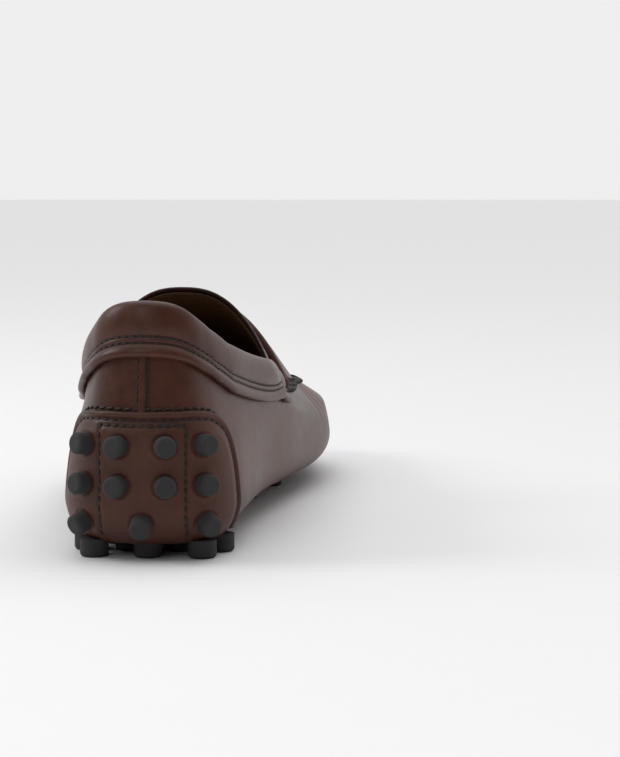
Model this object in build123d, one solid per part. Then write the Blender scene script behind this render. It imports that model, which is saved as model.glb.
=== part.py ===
"""Driving moccasin for the left foot, men's size EU 42, as an assembly of its cut and sewn pieces.

The upper is one leather wrap that passes under the foot and closes at the back of the heel under a
narrow strip. An apron with a tongue closes it on top, and a saddle strap crosses the instep. A collar
band runs round the opening. Rubber studs on two base sheets stand through punched leather pads, one under
the ball of the foot and one that climbs the back of the heel. The shoe bends at the ball, so what crosses
that line is cut there.

Millimetres. +Y points to the toe, +X to the inner (big toe) side, +Z up, and the ground is z = 0. Inside
this file y is counted from the back of the heel, and save() moves each finished piece to the centred
frame. A surface "off" is how far inside the outer face of the wrap it lies, and a negative one lies
outside it.
"""

import os
from functools import lru_cache
from math import hypot, radians, sqrt, tan

from build123d import *

# ---- driving dimensions --------------------------------------------------------------------------
SHOE_LENGTH = 281.0  # wrap, back of the heel to the toe
BALL_WIDTH = 101.5  # wrap, at the ball of the foot
SHOE_HEIGHT = 87.0  # ground to the top of the collar and tongue

STUD_HEIGHT = 4.6  # rubber that stands out of a pad
PAD_THICKNESS = 1.5
BASE_THICKNESS = 1.0  # rubber sheet that carries the studs
WRAP_THICKNESS = 1.7
COUNTER_THICKNESS = 1.0
LINING_THICKNESS = 0.9
APRON_THICKNESS = 1.5
BAND_THICKNESS = 1.5
BAND_PUFF = 1.0  # soft core that holds the collar band off the wrap
STRAP_THICKNESS = 1.6
STRIP_THICKNESS = 0.9
FOAM_THICKNESS = 3.0
SOCK_THICKNESS = 1.1
GLUE = 0.05  # gap between glued layers

GROUND_STUD_RADIUS = 4.9  # large studs under the heel
SMALL_STUD_RADIUS = 3.65  # studs on the back of the heel and under the ball
STUD_EDGE = 1.3  # rounding of a stud's top
STUD_HOLE_GAP = 0.1

ROLL_HEIGHT = 12.0  # height over which the wrap turns up from under the foot
WAIST_HEIGHT = 17.0  # the walls are widest here
MID_HEIGHT = 50.0  # heights at which OUTLINE gives the inward lean, TOP_HEIGHT being the other
CUT_ABOVE = 13.0  # the foot form runs on this far above every piece

BAND_HEIGHT_BACK, BAND_HEIGHT_FRONT = 18.5, 14.5
STRAP_WIDTH = 30.0
STRAP_LOW_Z = 45.0
ROLL_RADIUS = 3.2  # rolled strap ends
STRIP_WIDTH = 3.4  # covers the seam at the back of the heel

FLEX_Z = 10.0  # height of the axis the shoe bends about
FLEX_RANGE = 30.0
FLEX_HALF_WEDGE = FLEX_RANGE / 2 + 1.5
FLEX_GAP = 0.3

THREAD_RADIUS = 0.3
STITCH_PITCH = 2.75  # collar rows
STITCH_LENGTH = 1.9
HEAVY_PITCH = 3.4  # heel pad and apron seam
HEAVY_LENGTH = 2.3
STITCH_LIFT = 0.25  # clear of the leather it lies on
STITCH_MOST_LIFT = 2.0
COLLAR_ROWS = (0.61, 0.735)  # share of the collar band's height below the topline
COLLAR_ROW_FRONT_Y = 102.0
SEAM_ROW_INSET = 2.2  # apron stitches lie this far outside the apron's edge

# The patterns below are drawn for a shoe 281 long, 101.5 wide and 87 high, and graded to the sizes above.
LONG, WIDE, HIGH = SHOE_LENGTH / 281.0, BALL_WIDTH / 101.5, SHOE_HEIGHT / 87.0
ORIGIN_X, ORIGIN_Y = -3.8 * WIDE, 137.0 * LONG  # middle of the whole shoe, in heel coordinates
TOP_HEIGHT = SHOE_HEIGHT
CUT_HEIGHT = TOP_HEIGHT + CUT_ABOVE
BAND_FRONT_Y = 119.0 * LONG
TONGUE_Y = 104.0 * LONG  # back edge of the tongue
STRAP_BACK_Y = 122.5 * LONG
STRAP_FRONT_Y = STRAP_BACK_Y + STRAP_WIDTH
STRAP_HALF_WIDTH = 36.0 * WIDE
COUNTER_FRONT_Y = 66.0 * LONG
LINING_JOIN_Y = 112.0 * LONG
FLEX_Y = 196.0 * LONG  # the shoe bends here, at the ball of the foot

SOLE_Z = STUD_HEIGHT + PAD_THICKNESS + BASE_THICKNESS + 2 * GLUE  # underside of the wrap
PAD_OFF = -(PAD_THICKNESS + BASE_THICKNESS + 2 * GLUE)
BASE_OFF = -(BASE_THICKNESS + GLUE)
BAND_OFF = -(BAND_THICKNESS + BAND_PUFF)
COUNTER_OFF = WRAP_THICKNESS + GLUE
LINING_OFF = COUNTER_OFF + COUNTER_THICKNESS + GLUE
SOCK_OFF = LINING_OFF + LINING_THICKNESS + 2 * GLUE

# Plan outline of the wrap at its widest, from the back of the heel round the inner side to the toe and
# back along the outer side: x, y, how far the flat underside lies inside it, and the inward lean at
# MID_HEIGHT and at TOP_HEIGHT.
OUTLINE = [
    (0.0, 0.0, 8.0, 1.0, 7.0), (15.0, 3.4, 8.0, 2.0, 8.5), (25.2, 13.0, 8.0, 4.5, 11.0),
    (30.2, 32.0, 9.0, 5.0, 9.5), (31.5, 58.0, 10.0, 2.5, 5.0), (33.5, 88.0, 13.0, 0.0, 0.5),
    (37.5, 118.0, 15.0, 0.5, 1.0), (41.5, 148.0, 13.0, 3.0, 5.0), (45.5, 175.0, 11.0, 7.0, 9.0),
    (47.0, 199.0, 11.0, 8.5, 10.0), (45.0, 225.0, 12.0, 9.0, 10.0), (39.0, 250.0, 14.0, 9.0, 10.0),
    (26.5, 270.5, 16.0, 9.0, 10.0), (6.0, 281.0, 18.0, 9.0, 10.0), (-14.5, 277.5, 16.0, 9.0, 10.0),
    (-31.0, 261.0, 14.0, 9.0, 10.0), (-43.0, 234.0, 12.0, 9.0, 10.0), (-50.5, 205.0, 11.0, 8.5, 10.0),
    (-54.5, 176.0, 10.0, 7.5, 9.0), (-53.0, 146.0, 10.0, 7.0, 9.0), (-47.5, 116.0, 11.0, 7.0, 9.0),
    (-41.0, 86.0, 11.0, 6.0, 9.0), (-35.0, 56.0, 10.0, 5.5, 9.0), (-30.8, 32.0, 9.0, 5.0, 9.5),
    (-25.2, 13.0, 8.0, 4.5, 11.0), (-15.0, 3.4, 8.0, 2.0, 8.5),
]
OUTLINE = [(x * WIDE, y * LONG, roll, mid, top) for x, y, roll, mid, top in OUTLINE]

# Crown of the forefoot: y, height of its ridge, x of the ridge, half width, and drop at that half width.
CROWN = [
    (60.0, 99.0, -1.0, 36.0, 40.0), (90.0, 91.5, -1.5, 37.0, 41.0), (108.0, 86.0, -2.0, 38.5, 41.0),
    (130.0, 76.5, -3.0, 41.5, 38.5), (155.0, 66.0, -4.5, 46.0, 33.0), (180.0, 57.0, -4.5, 49.0, 26.0),
    (205.0, 50.5, -3.5, 49.5, 20.0), (230.0, 45.5, -1.0, 46.0, 16.0), (252.0, 40.0, 2.0, 42.0, 13.0),
    (270.0, 33.5, 4.0, 40.0, 11.0), (284.0, 26.5, 5.0, 38.0, 10.0), (300.0, 17.0, 5.0, 38.0, 10.0),
]
CROWN = [(y * LONG, z * HIGH, x * WIDE, half * WIDE, drop * HIGH) for y, z, x, half, drop in CROWN]
CROWN_POWER = 2.6

# Edge of the opening from the side: y, z. The tongue's edge closes it in front.
TOPLINE = [
    (-15.0, 86.9), (2.0, 86.9), (8.0, 86.0), (14.0, 81.5), (22.0, 76.5), (36.0, 70.5), (60.0, 65.0),
    (84.0, 61.0), (98.0, 59.5),
]
TOPLINE = [(y * LONG, z * HIGH) for y, z in TOPLINE]

# Plan line of the seam between apron and wrap, from the inner side round the toe to the outer side.
APRON_SEAM = [
    (30.5, 96.0), (32.0, 112.0), (32.8, 140.0), (33.0, 172.0), (32.5, 200.0), (29.5, 224.0), (22.5, 244.0),
    (9.0, 256.5), (-6.0, 255.5), (-20.0, 245.0), (-30.5, 226.0), (-37.0, 200.0), (-40.0, 172.0),
    (-39.0, 140.0), (-35.5, 112.0), (-33.0, 96.0),
]
APRON_SEAM = [(x * WIDE, y * LONG) for x, y in APRON_SEAM]

# Leather pad under the ball of the foot, in plan.
FORE_PAD = [
    (10.0, 122.0), (24.0, 134.0), (31.5, 160.0), (34.5, 188.0), (33.0, 214.0), (26.0, 238.0), (14.0, 254.0),
    (0.0, 257.0), (-13.0, 250.0), (-26.5, 232.0), (-36.0, 206.0), (-41.5, 178.0), (-40.0, 152.0),
    (-30.0, 130.0), (-10.0, 120.0),
]
FORE_PAD = [(x * WIDE, y * LONG) for x, y in FORE_PAD]

# Leather pad on the heel: its outline from behind (x, z) and its tongue under the heel in plan (x, y).
HEEL_PAD_TOP_Z, HEEL_PAD_TOP_HALF, HEEL_PAD_LOW_HALF, HEEL_PAD_CORNER = 50.5, 24.2, 29.6, 10.0
HEEL_PAD_SIDE_Y = 24.0
HEEL_PAD_FRONT_Y = 60.0
PAD_BORDER = 4.0  # the rubber base stops this far inside its pad

# Stitch rows on the heel pad: half of each, as share of the way round to the pad's side edge, and height.
PAD_ROW = [(0.94, 14.0), (0.94, 30.0), (0.925, 38.0), (0.85, 44.0), (0.68, 47.6), (0.45, 48.4), (0.0, 48.6)]
PAD_SIDE_Y = 21.5
PANEL_HALF, PANEL_TOP_Z, PANEL_LOW_Z = 14.2, 45.6, 15.0  # stitched rectangle between the studs

# Studs on the back of the heel: height, and distances round the heel from the middle line.
BACK_STUDS = [
    (39.0, (-21.5, -7.9, 7.9, 21.5)), (25.8, (-22.0, -7.9, 7.9, 22.0)), (13.4, (-22.5, 0.0, 22.5)),
]
# Studs under the heel: y, and x of each.
HEEL_STUDS = [
    (11.5, (-18.5, 0.0, 18.5)), (24.5, (-23.0, -8.6, 8.6, 23.0)), (38.0, (-15.5, 0.0, 15.5)),
    (50.0, (-8.0, 8.0)),
]
FORE_STUD_PITCH_X, FORE_STUD_PITCH_Y = 12.4, 12.0
FORE_STUD_MARGIN = 6.0

MEDIAL, LATERAL = 1, -1


# ---- the foot form -------------------------------------------------------------------------------
def on_curve(rows, t):
    """Point at parameter t of the closed curve through rows, a column at a time."""
    i, f = int(t // 1), t - t // 1
    before, here, there, after = (rows[(i + k) % len(rows)] for k in (-1, 0, 1, 2))
    return [
        0.5 * (2 * b + (c - a) * f + (2 * a - 5 * b + 4 * c - d) * f**2 + (3 * b - a - 3 * c + d) * f**3)
        for a, b, c, d in zip(before, here, there, after)
    ]


def between(rows, y):
    """Smooth values at y from rows sorted by their first column."""
    if y <= rows[0][0]:
        return list(rows[0][1:])
    for k in range(len(rows) - 1):
        if y <= rows[k + 1][0]:
            break
    before, here, there, after = rows[max(k - 1, 0)], rows[k], rows[k + 1], rows[min(k + 2, len(rows) - 1)]
    f = min((y - here[0]) / (there[0] - here[0]), 1.0)
    return [
        0.5 * (2 * b + (c - a) * f + (2 * a - 5 * b + 4 * c - d) * f**2 + (3 * b - a - 3 * c + d) * f**3)
        for a, b, c, d in list(zip(before, here, there, after))[1:]
    ]


def outline_normal(t):
    """Outward direction in plan at parameter t of OUTLINE."""
    a, b = on_curve(OUTLINE, t - 0.05), on_curve(OUTLINE, t + 0.05)
    dx, dy = b[0] - a[0], b[1] - a[1]
    length = hypot(dx, dy)
    return dy / length, -dx / length


def wall_point(t, z, off=0.0):
    """Point of the wall at OUTLINE parameter t and height z."""
    x, y, roll, mid, top = on_curve(OUTLINE, t)
    nx, ny = outline_normal(t)
    inward = off
    rise, height = z - SOLE_Z - off, ROLL_HEIGHT - off
    if rise < height:
        inward += (roll - off) * (1 - sqrt(max(0.0, 1 - (1 - max(rise, 0.0) / height) ** 2)))
    if z > MID_HEIGHT:
        inward += mid + (top - mid) * (z - MID_HEIGHT) / (TOP_HEIGHT - MID_HEIGHT)
    elif z > WAIST_HEIGHT:
        inward += mid * ((z - WAIST_HEIGHT) / (MID_HEIGHT - WAIST_HEIGHT)) ** 1.6
    return Vector(x - nx * inward, y - ny * inward, z)


def crown_height(x, y, off=0.0):
    """Height of the forefoot's crown."""
    ridge, middle, half, drop = between(CROWN, y)
    return ridge - off - drop * (abs(x - middle) / half) ** CROWN_POWER


@lru_cache(None)
def form(off):
    """Solid foot form: the walls up to CUT_HEIGHT, cut by the crown."""
    bottom, height = SOLE_Z + off, ROLL_HEIGHT - off
    levels = [bottom + share * height for share in (0.0, 0.08, 0.26, 0.55, 1.0)]
    levels += [29.0, 40.0, 50.0, 62.0, 75.0, CUT_HEIGHT]
    rings = [
        Wire([Edge.make_spline([wall_point(k, z, off) for k in range(len(OUTLINE))], periodic=True)])
        for z in levels
    ]
    walls = Solid.make_loft(rings)
    sections = []
    for y, _, middle, half, _ in CROWN:
        reach = 2.0 * half
        xs = [middle + reach * k / 6 for k in range(-6, 7)]
        top = Edge.make_spline([Vector(x, y, crown_height(x, y, off)) for x in xs])
        low = -260.0
        right, left = Vector(xs[-1], y, low), Vector(xs[0], y, low)
        corners = [top @ 1, right, left, top @ 0]
        sections.append(Wire([top] + [Edge.make_line(a, b) for a, b in zip(corners, corners[1:])]))
    return walls & (Solid.make_loft(sections) + rear_block())


@lru_cache(None)
def rear_block():
    """Everything behind the crown's first section."""
    return box(-150, 150, -40, CROWN[0][0], -260, 160)


def box(x0, x1, y0, y1, z0, z1):
    """Box between two corners."""
    return Pos((x0 + x1) / 2, (y0 + y1) / 2, (z0 + z1) / 2) * Box(x1 - x0, y1 - y0, z1 - z0)


def layer(outer, inner):
    """Skin of the form between two offs."""
    return form(outer) - form(inner)


# ---- regions that cut the skins ------------------------------------------------------------------
def side_prism(points, spline_count, half=90.0):
    """Region from the side: a spline through the first points, then straight lines, swept across."""
    smooth = Edge.make_spline([Vector(-half, y, z) for y, z in points[:spline_count]])
    corners = [smooth @ 1] + [Vector(-half, y, z) for y, z in points[spline_count:]] + [smooth @ 0]
    lines = [Edge.make_line(a, b) for a, b in zip(corners, corners[1:])]
    return extrude(Face(Wire([smooth] + lines)), 2 * half, dir=(1, 0, 0))


def plan_prism(points, z0, z1, grow=0.0):
    """Region from above inside the closed spline through points, each moved outwards by grow."""
    ring = []
    for k, (x, y) in enumerate(points):
        (ax, ay), (bx, by) = points[k - 1], points[(k + 1) % len(points)]
        length = hypot(bx - ax, by - ay)
        ring.append(Vector(x + grow * (by - ay) / length, y - grow * (bx - ax) / length, z0))
    return extrude(Face(Wire([Edge.make_spline(ring, periodic=True)])), z1 - z0, dir=(0, 0, 1))


@lru_cache(None)
def opening():
    """Where the foot goes in: above the topline and behind the tongue."""
    front = [(TONGUE_Y - 2, 62.0 * HIGH), (TONGUE_Y, 66.0 * HIGH), (TONGUE_Y + 3, 160.0)]
    return side_prism(TOPLINE + front + [(TOPLINE[0][0], 160.0)], len(TOPLINE))


def band_height(y):
    """Height of the collar band at y."""
    share = min(max(y / BAND_FRONT_Y, 0.0), 1.0)
    return BAND_HEIGHT_BACK + (BAND_HEIGHT_FRONT - BAND_HEIGHT_BACK) * share


def topline_height(y):
    """Height of the topline at y, carried on along its slope past its end."""
    last, end = TOPLINE[-2], TOPLINE[-1]
    if y > end[0]:
        return end[1] + (y - end[0]) * (end[1] - last[1]) / (end[0] - last[0])
    return between(TOPLINE, y)[0]


def band_region(drop_top, drop_low, front):
    """Strip along the opening, from drop_top under the topline to drop_low times the band's height."""
    ys = [y for y, _ in TOPLINE] + [front]
    low = [(y, topline_height(y) - drop_low * band_height(y)) for y in ys]
    region = side_prism(low + [(front, 160.0), (ys[0], 160.0)], len(low))
    top = [(y, topline_height(y) - drop_top) for y in ys]
    return region - side_prism(top + [(front, 161.0), (ys[0], 161.0)], len(top), 91.0)


@lru_cache(None)
def apron_region(grow=0.0):
    """Inside the apron seam, above the walls."""
    return plan_prism(APRON_SEAM, 22.0, 130.0, grow)


def heel_pad_region(border, outer):
    """Where the heel pad lies, with its edge brought in by border."""
    top, half, low = HEEL_PAD_TOP_Z - border, HEEL_PAD_TOP_HALF - border, HEEL_PAD_LOW_HALF - border
    corner = max(HEEL_PAD_CORNER - border, 2.0)
    shape = Polygon((-low, -20), (low, -20), (low, 8), (half, top), (-half, top), (-low, 8), align=None)
    upper = [v for v in shape.vertices() if v.Y > top - 1]
    back = extrude(Plane.XZ * fillet(upper, corner), -(HEEL_PAD_SIDE_Y + 20 - border))
    back = Pos(0, -20, 0) * back
    front = HEEL_PAD_FRONT_Y - border
    under = plan_prism(
        [(0, -20), (low, -5), (low - 0.5, 22), (low - 5, 42), (12, front - 2), (0, front), (-12, front - 2),
         (5 - low, 42), (0.5 - low, 22), (-low, -5)], -10, 12,
    )
    return (back + under) & outer


# ---- bending at the ball -------------------------------------------------------------------------
@lru_cache(None)
def flex_region(part):
    """rear and front meet at the bend line, and above it they leave a wedge for the crease."""
    lean, far = tan(radians(FLEX_HALF_WEDGE)) * 150, 200.0
    side = {"rear": -1, "front": 1}[part]
    near = FLEX_Y + side * FLEX_GAP / 2
    away = near + side * (lean + far)
    profile = [(near, -20.0), (near, FLEX_Z), (near + side * lean, FLEX_Z + 150)]
    profile += [(away, FLEX_Z + 150), (away, -20.0)]
    corners = [Vector(-100, y, z) for y, z in profile]
    return extrude(Face(Wire.make_polygon(corners)), 200, dir=(1, 0, 0))


@lru_cache(None)
def crease_region():
    """The wedge between the two sides of the bend, clear of both."""
    lean = tan(radians(FLEX_HALF_WEDGE)) * 150
    low = FLEX_Z + 2.0
    start = (low - FLEX_Z) / 150 * lean - FLEX_GAP / 2
    end, high = lean - FLEX_GAP / 2, FLEX_Z + 150
    profile = [(FLEX_Y - start, low), (FLEX_Y + start, low), (FLEX_Y + end, high), (FLEX_Y - end, high)]
    corners = [Vector(-100, y, z) for y, z in profile]
    return extrude(Face(Wire.make_polygon(corners)), 200, dir=(1, 0, 0))


def save_split(name, shape, crease=True):
    """Writes the piece cut at the bend, as its rear, front and, above the sole, its crease."""
    save(name + "_rear", shape & flex_region("rear"))
    save(name + "_front", shape & flex_region("front"))
    if crease:
        save(name + "_crease", shape & crease_region())


MADE = {}  # the finished pieces by name, before they are placed


def save(name, shape):
    """Writes the piece in the centred frame."""
    MADE[name] = solids = [s for s in shape.solids() if s.volume > 0.05]
    placed = [Pos(-ORIGIN_X, -ORIGIN_Y, 0) * s for s in solids]
    export_step(Compound(children=placed) if len(placed) > 1 else placed[0], f"parts/{name}.step")
    print(name, len(solids), round(sum(s.volume for s in solids)))


# ---- studs ---------------------------------------------------------------------------------------
def heel_parameter(distance, z, off):
    """OUTLINE parameter that lies a distance round the heel from its middle, at height z."""
    sign, t, run, step = (1 if distance > 0 else -1), 0.0, 0.0, 0.02
    here = wall_point(0, z, off)
    while run < abs(distance):
        t += step
        there = wall_point(sign * t, z, off)
        run += (there - here).length
        here = there
    return sign * t


def wall_normal(t, z, off=0.0):
    """Outward direction of the wall."""
    along = wall_point(t + 0.05, z, off) - wall_point(t - 0.05, z, off)
    up = wall_point(t, z + 0.5, off) - wall_point(t, z - 0.5, off)
    return along.cross(up).normalized()


def stud(foot, direction, radius, length):
    """Stud with a rounded top, from foot along direction."""
    body = Cylinder(radius, length, align=(Align.CENTER, Align.CENTER, Align.MIN))
    body = fillet(body.edges().group_by(Axis.Z)[-1], STUD_EDGE)
    return Plane(origin=foot, z_dir=direction) * body


def hole(foot, direction, radius, length):
    """Punched hole for a stud."""
    return Plane(origin=foot, z_dir=direction) * Cylinder(radius + STUD_HOLE_GAP, 2 * length)


@lru_cache(None)
def back_stud_places():
    """Foot and direction of each stud on the back of the heel."""
    places = []
    for z, distances in BACK_STUDS:
        for distance in distances:
            t = heel_parameter(distance, z, PAD_OFF)
            places.append((wall_point(t, z, BASE_OFF), wall_normal(t, z)))
    return places


def heel_stud_places():
    """Foot of each stud under the heel."""
    return [Vector(x, y, SOLE_Z + BASE_OFF) for y, xs in HEEL_STUDS for x in xs]


def plan_inside(x, y, ring, margin):
    """Whether a point is inside a closed ring of points by more than margin."""
    inside, nearest = False, 1e9
    for (ax, ay), (bx, by) in zip(ring, ring[1:] + ring[:1]):
        if (ay > y) != (by > y) and x < ax + (y - ay) * (bx - ax) / (by - ay):
            inside = not inside
        length = hypot(bx - ax, by - ay)
        share = max(0.0, min(1.0, ((x - ax) * (bx - ax) + (y - ay) * (by - ay)) / length**2))
        nearest = min(nearest, hypot(x - ax - share * (bx - ax), y - ay - share * (by - ay)))
    return inside and nearest > margin


def fore_stud_places():
    """Foot of each stud under the ball: staggered rows that keep clear of the bend line."""
    places = []
    for row in range(-6, 6):
        y = FLEX_Y + (row + 0.5) * FORE_STUD_PITCH_Y
        shift = FORE_STUD_PITCH_X / 2 if row % 2 else 0.0
        for column in range(-5, 5):
            x = shift + column * FORE_STUD_PITCH_X
            if plan_inside(x, y, FORE_PAD, FORE_STUD_MARGIN):
                places.append(Vector(x, y, SOLE_Z + BASE_OFF))
    return places


DOWN = Vector(0, 0, -1)
STUD_LENGTH = STUD_HEIGHT + PAD_THICKNESS + GLUE


def punch(piece, holes):
    """The piece with its holes cut."""
    for one in holes:
        piece = Compound(children=(piece - one).solids())
    return piece


def make_heel_sole():
    """The heel's leather pad, and the rubber behind it with its studs."""
    studs = [stud(p, n, SMALL_STUD_RADIUS, STUD_LENGTH) for p, n in back_stud_places()]
    studs += [stud(p, DOWN, GROUND_STUD_RADIUS, STUD_LENGTH) for p in heel_stud_places()]
    holes = [hole(p, n, SMALL_STUD_RADIUS, STUD_LENGTH) for p, n in back_stud_places()]
    holes += [hole(p, DOWN, GROUND_STUD_RADIUS, STUD_LENGTH) for p in heel_stud_places()]
    base = heel_pad_region(PAD_BORDER, layer(BASE_OFF, -GLUE))
    pocket = heel_pad_region(PAD_BORDER - 0.2, layer(BASE_OFF - GLUE, 0.0))
    pad = heel_pad_region(0.0, layer(PAD_OFF, -GLUE)) - pocket
    for one in studs:
        base += one
    save("heel_pad", punch(pad, holes))
    save("heel_stud_sheet", base)


def make_fore_sole():
    """The pad under the ball, and the rubber behind it with its studs."""
    base = plan_prism(FORE_PAD, SOLE_Z + BASE_OFF, SOLE_Z - GLUE, -PAD_BORDER)
    pocket = plan_prism(FORE_PAD, SOLE_Z + BASE_OFF - GLUE, SOLE_Z, 0.2 - PAD_BORDER)
    pad = plan_prism(FORE_PAD, SOLE_Z + PAD_OFF, SOLE_Z - GLUE) - pocket
    for place in fore_stud_places():
        pad -= hole(place, DOWN, SMALL_STUD_RADIUS, STUD_LENGTH)
        base += stud(place, DOWN, SMALL_STUD_RADIUS, STUD_LENGTH)
    save_split("fore_pad", pad, crease=False)
    save_split("fore_stud_sheet", base, crease=False)


# ---- upper ---------------------------------------------------------------------------------------
def make_upper():
    """Wrap, apron with its tongue, and the vamp lining under them."""
    floor = SOLE_Z + WRAP_THICKNESS + FOAM_THICKNESS
    skin = layer(0.0, WRAP_THICKNESS) - opening()
    save_split("wrap", skin - apron_region(0.1))
    thin = layer(0.0, APRON_THICKNESS) - opening()
    save_split("apron", (thin & apron_region(0.0)) & box(-90, 90, TONGUE_Y - 4, 400, 20, 160))
    inside = layer(COUNTER_OFF, COUNTER_OFF + LINING_THICKNESS) - opening()
    save_split("vamp_lining", inside & box(-90, 90, LINING_JOIN_Y + GLUE, 400, floor, 160))


def make_heel_inside():
    """Heel counter, collar foam and quarter lining."""
    gap = layer(COUNTER_OFF, COUNTER_OFF + COUNTER_THICKNESS) - opening()
    floor = SOLE_Z + WRAP_THICKNESS + FOAM_THICKNESS + SOCK_THICKNESS + 1.0
    above = band_region(1.0, 0.92, LINING_JOIN_Y - 2)
    save("collar_foam", gap & above & box(-90, 90, -20, LINING_JOIN_Y - 2, floor, 160))
    below = box(-90, 90, -20, COUNTER_FRONT_Y, floor, 160) - band_region(-60.0, 0.95, 150.0)
    save("heel_counter", gap & below)
    lining = layer(LINING_OFF, LINING_OFF + LINING_THICKNESS) - opening()
    save("quarter_lining", lining & box(-90, 90, -20, LINING_JOIN_Y, floor - 3.0, 160))


def make_footbed():
    """Foam insole and leather sock, both cut at the bend."""
    low = SOLE_Z + SOCK_OFF + GLUE
    bed = form(SOCK_OFF)
    foam = bed & box(-90, 90, -20, 400, low, low + FOAM_THICKNESS)
    top = low + FOAM_THICKNESS + GLUE
    sock = bed & box(-90, 90, -20, 400, top, top + SOCK_THICKNESS)
    save_split("insole_foam", foam, crease=False)
    save_split("sock", sock, crease=False)


def make_collar():
    """Collar band round the opening, with a soft core that puffs it out."""
    region = band_region(0.0, 1.0, BAND_FRONT_Y) - opening()
    core = band_region(2.5, 0.72, BAND_FRONT_Y - 3.0) - opening()
    save("collar_band", (layer(BAND_OFF, -GLUE) & region) - (form(-BAND_PUFF - GLUE) & core))
    inner = band_region(2.8, 0.70, BAND_FRONT_Y - 3.3) - opening()
    save("collar_band_core", layer(-BAND_PUFF, -GLUE) & inner)


def make_back_strip():
    """Narrow strip over the seam at the back of the heel, from the collar band to the heel pad."""
    low = HEEL_PAD_TOP_Z + 0.2
    high = topline_height(2.0) - BAND_HEIGHT_BACK + 0.4
    half = STRIP_WIDTH / 2
    strip = layer(-STRIP_THICKNESS, -GLUE) & box(-half, half, -10, 20, low, high - 0.6)
    save("back_strip", strip)


def make_strap():
    """Saddle strap over the instep, and its rolled ends at the apron seam."""
    left, right = -3 - STRAP_HALF_WIDTH, STRAP_HALF_WIDTH - 3
    region = box(left, right, STRAP_BACK_Y, STRAP_FRONT_Y, STRAP_LOW_Z, 160)
    strap = layer(-STRAP_THICKNESS, -GLUE) & region
    rolls = {}
    for side, name in ((MEDIAL, "strap_roll_inner"), (LATERAL, "strap_roll_outer")):
        ends = []
        for y in (STRAP_BACK_Y + 0.5, STRAP_FRONT_Y - 0.5):
            x = -3 + side * (STRAP_HALF_WIDTH + 1.2)
            ends.append(Vector(x, y, crown_height(x, y) - 0.2))
        run = ends[1] - ends[0]
        bar = Cylinder(ROLL_RADIUS, run.length, align=(Align.CENTER, Align.CENTER, Align.MIN))
        bar = fillet(bar.edges().filter_by(GeomType.CIRCLE), ROLL_RADIUS * 0.6)
        rolls[name] = Plane(origin=ends[0], z_dir=run) * bar - form(-GLUE)
    for name, roll in rolls.items():
        strap -= roll
        save(name, roll)
    save("saddle_strap", strap)


# ---- thread --------------------------------------------------------------------------------------
def sew(line, pitch, length, leather=()):
    """Stitches along a line of (point, normal) pairs, each raised until it lies clear of the leather.

    One that would have to be raised by STITCH_MOST_LIFT is left out.
    """
    made, run = [], pitch / 2
    for (here, out), (there, _) in zip(line, line[1:]):
        step = (there - here).length
        run += step
        if run < pitch or step < 1e-6:
            continue
        run -= pitch
        out, lie, lift = out.normalized(), (there - here).normalized(), STITCH_LIFT
        while lift < STITCH_MOST_LIFT and buried(there + out * lift, lie * length / 2, leather):
            lift += 0.15
        if lift >= STITCH_MOST_LIFT:
            continue
        foot = there + out * (THREAD_RADIUS + lift) - lie * length / 2
        body = Cylinder(THREAD_RADIUS, length, align=(Align.CENTER, Align.CENTER, Align.MIN))
        made.append(Plane(origin=foot, z_dir=lie) * body)
    return made


def buried(middle, reach, leather):
    """Whether the underside of a stitch lies in the leather."""
    return any(s.is_inside(middle + reach * share) for s in leather for share in (-1, 0, 1))


def wall_line(places, off):
    """(point, normal) pairs on the wall at (t, z) places."""
    return [(wall_point(t, z, off), wall_normal(t, z, off)) for t, z in places]


def column_at(y, side):
    """OUTLINE parameter on the inner or outer side at y."""
    t, step = 0.0, 0.01 * side
    while on_curve(OUTLINE, t)[1] < y:
        t += step
    return t


def seam_line():
    """(point, normal) pairs along the apron seam, just outside the apron, from the tongue round the toe."""
    pairs = []
    for k in range(1200):
        t = 1.0 + (len(APRON_SEAM) - 3.0) * k / 1199
        x, y = on_curve(APRON_SEAM, t)
        bx, by = on_curve(APRON_SEAM, t + 0.02)
        length = hypot(bx - x, by - y)
        x, y = x + SEAM_ROW_INSET * (by - y) / length, y - SEAM_ROW_INSET * (bx - x) / length
        slope_x = crown_height(x + 0.5, y) - crown_height(x - 0.5, y)
        slope_y = crown_height(x, y + 0.5) - crown_height(x, y - 0.5)
        pairs.append((Vector(x, y, crown_height(x, y)), Vector(-slope_x, -slope_y, 1.0)))
    return pairs


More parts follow.
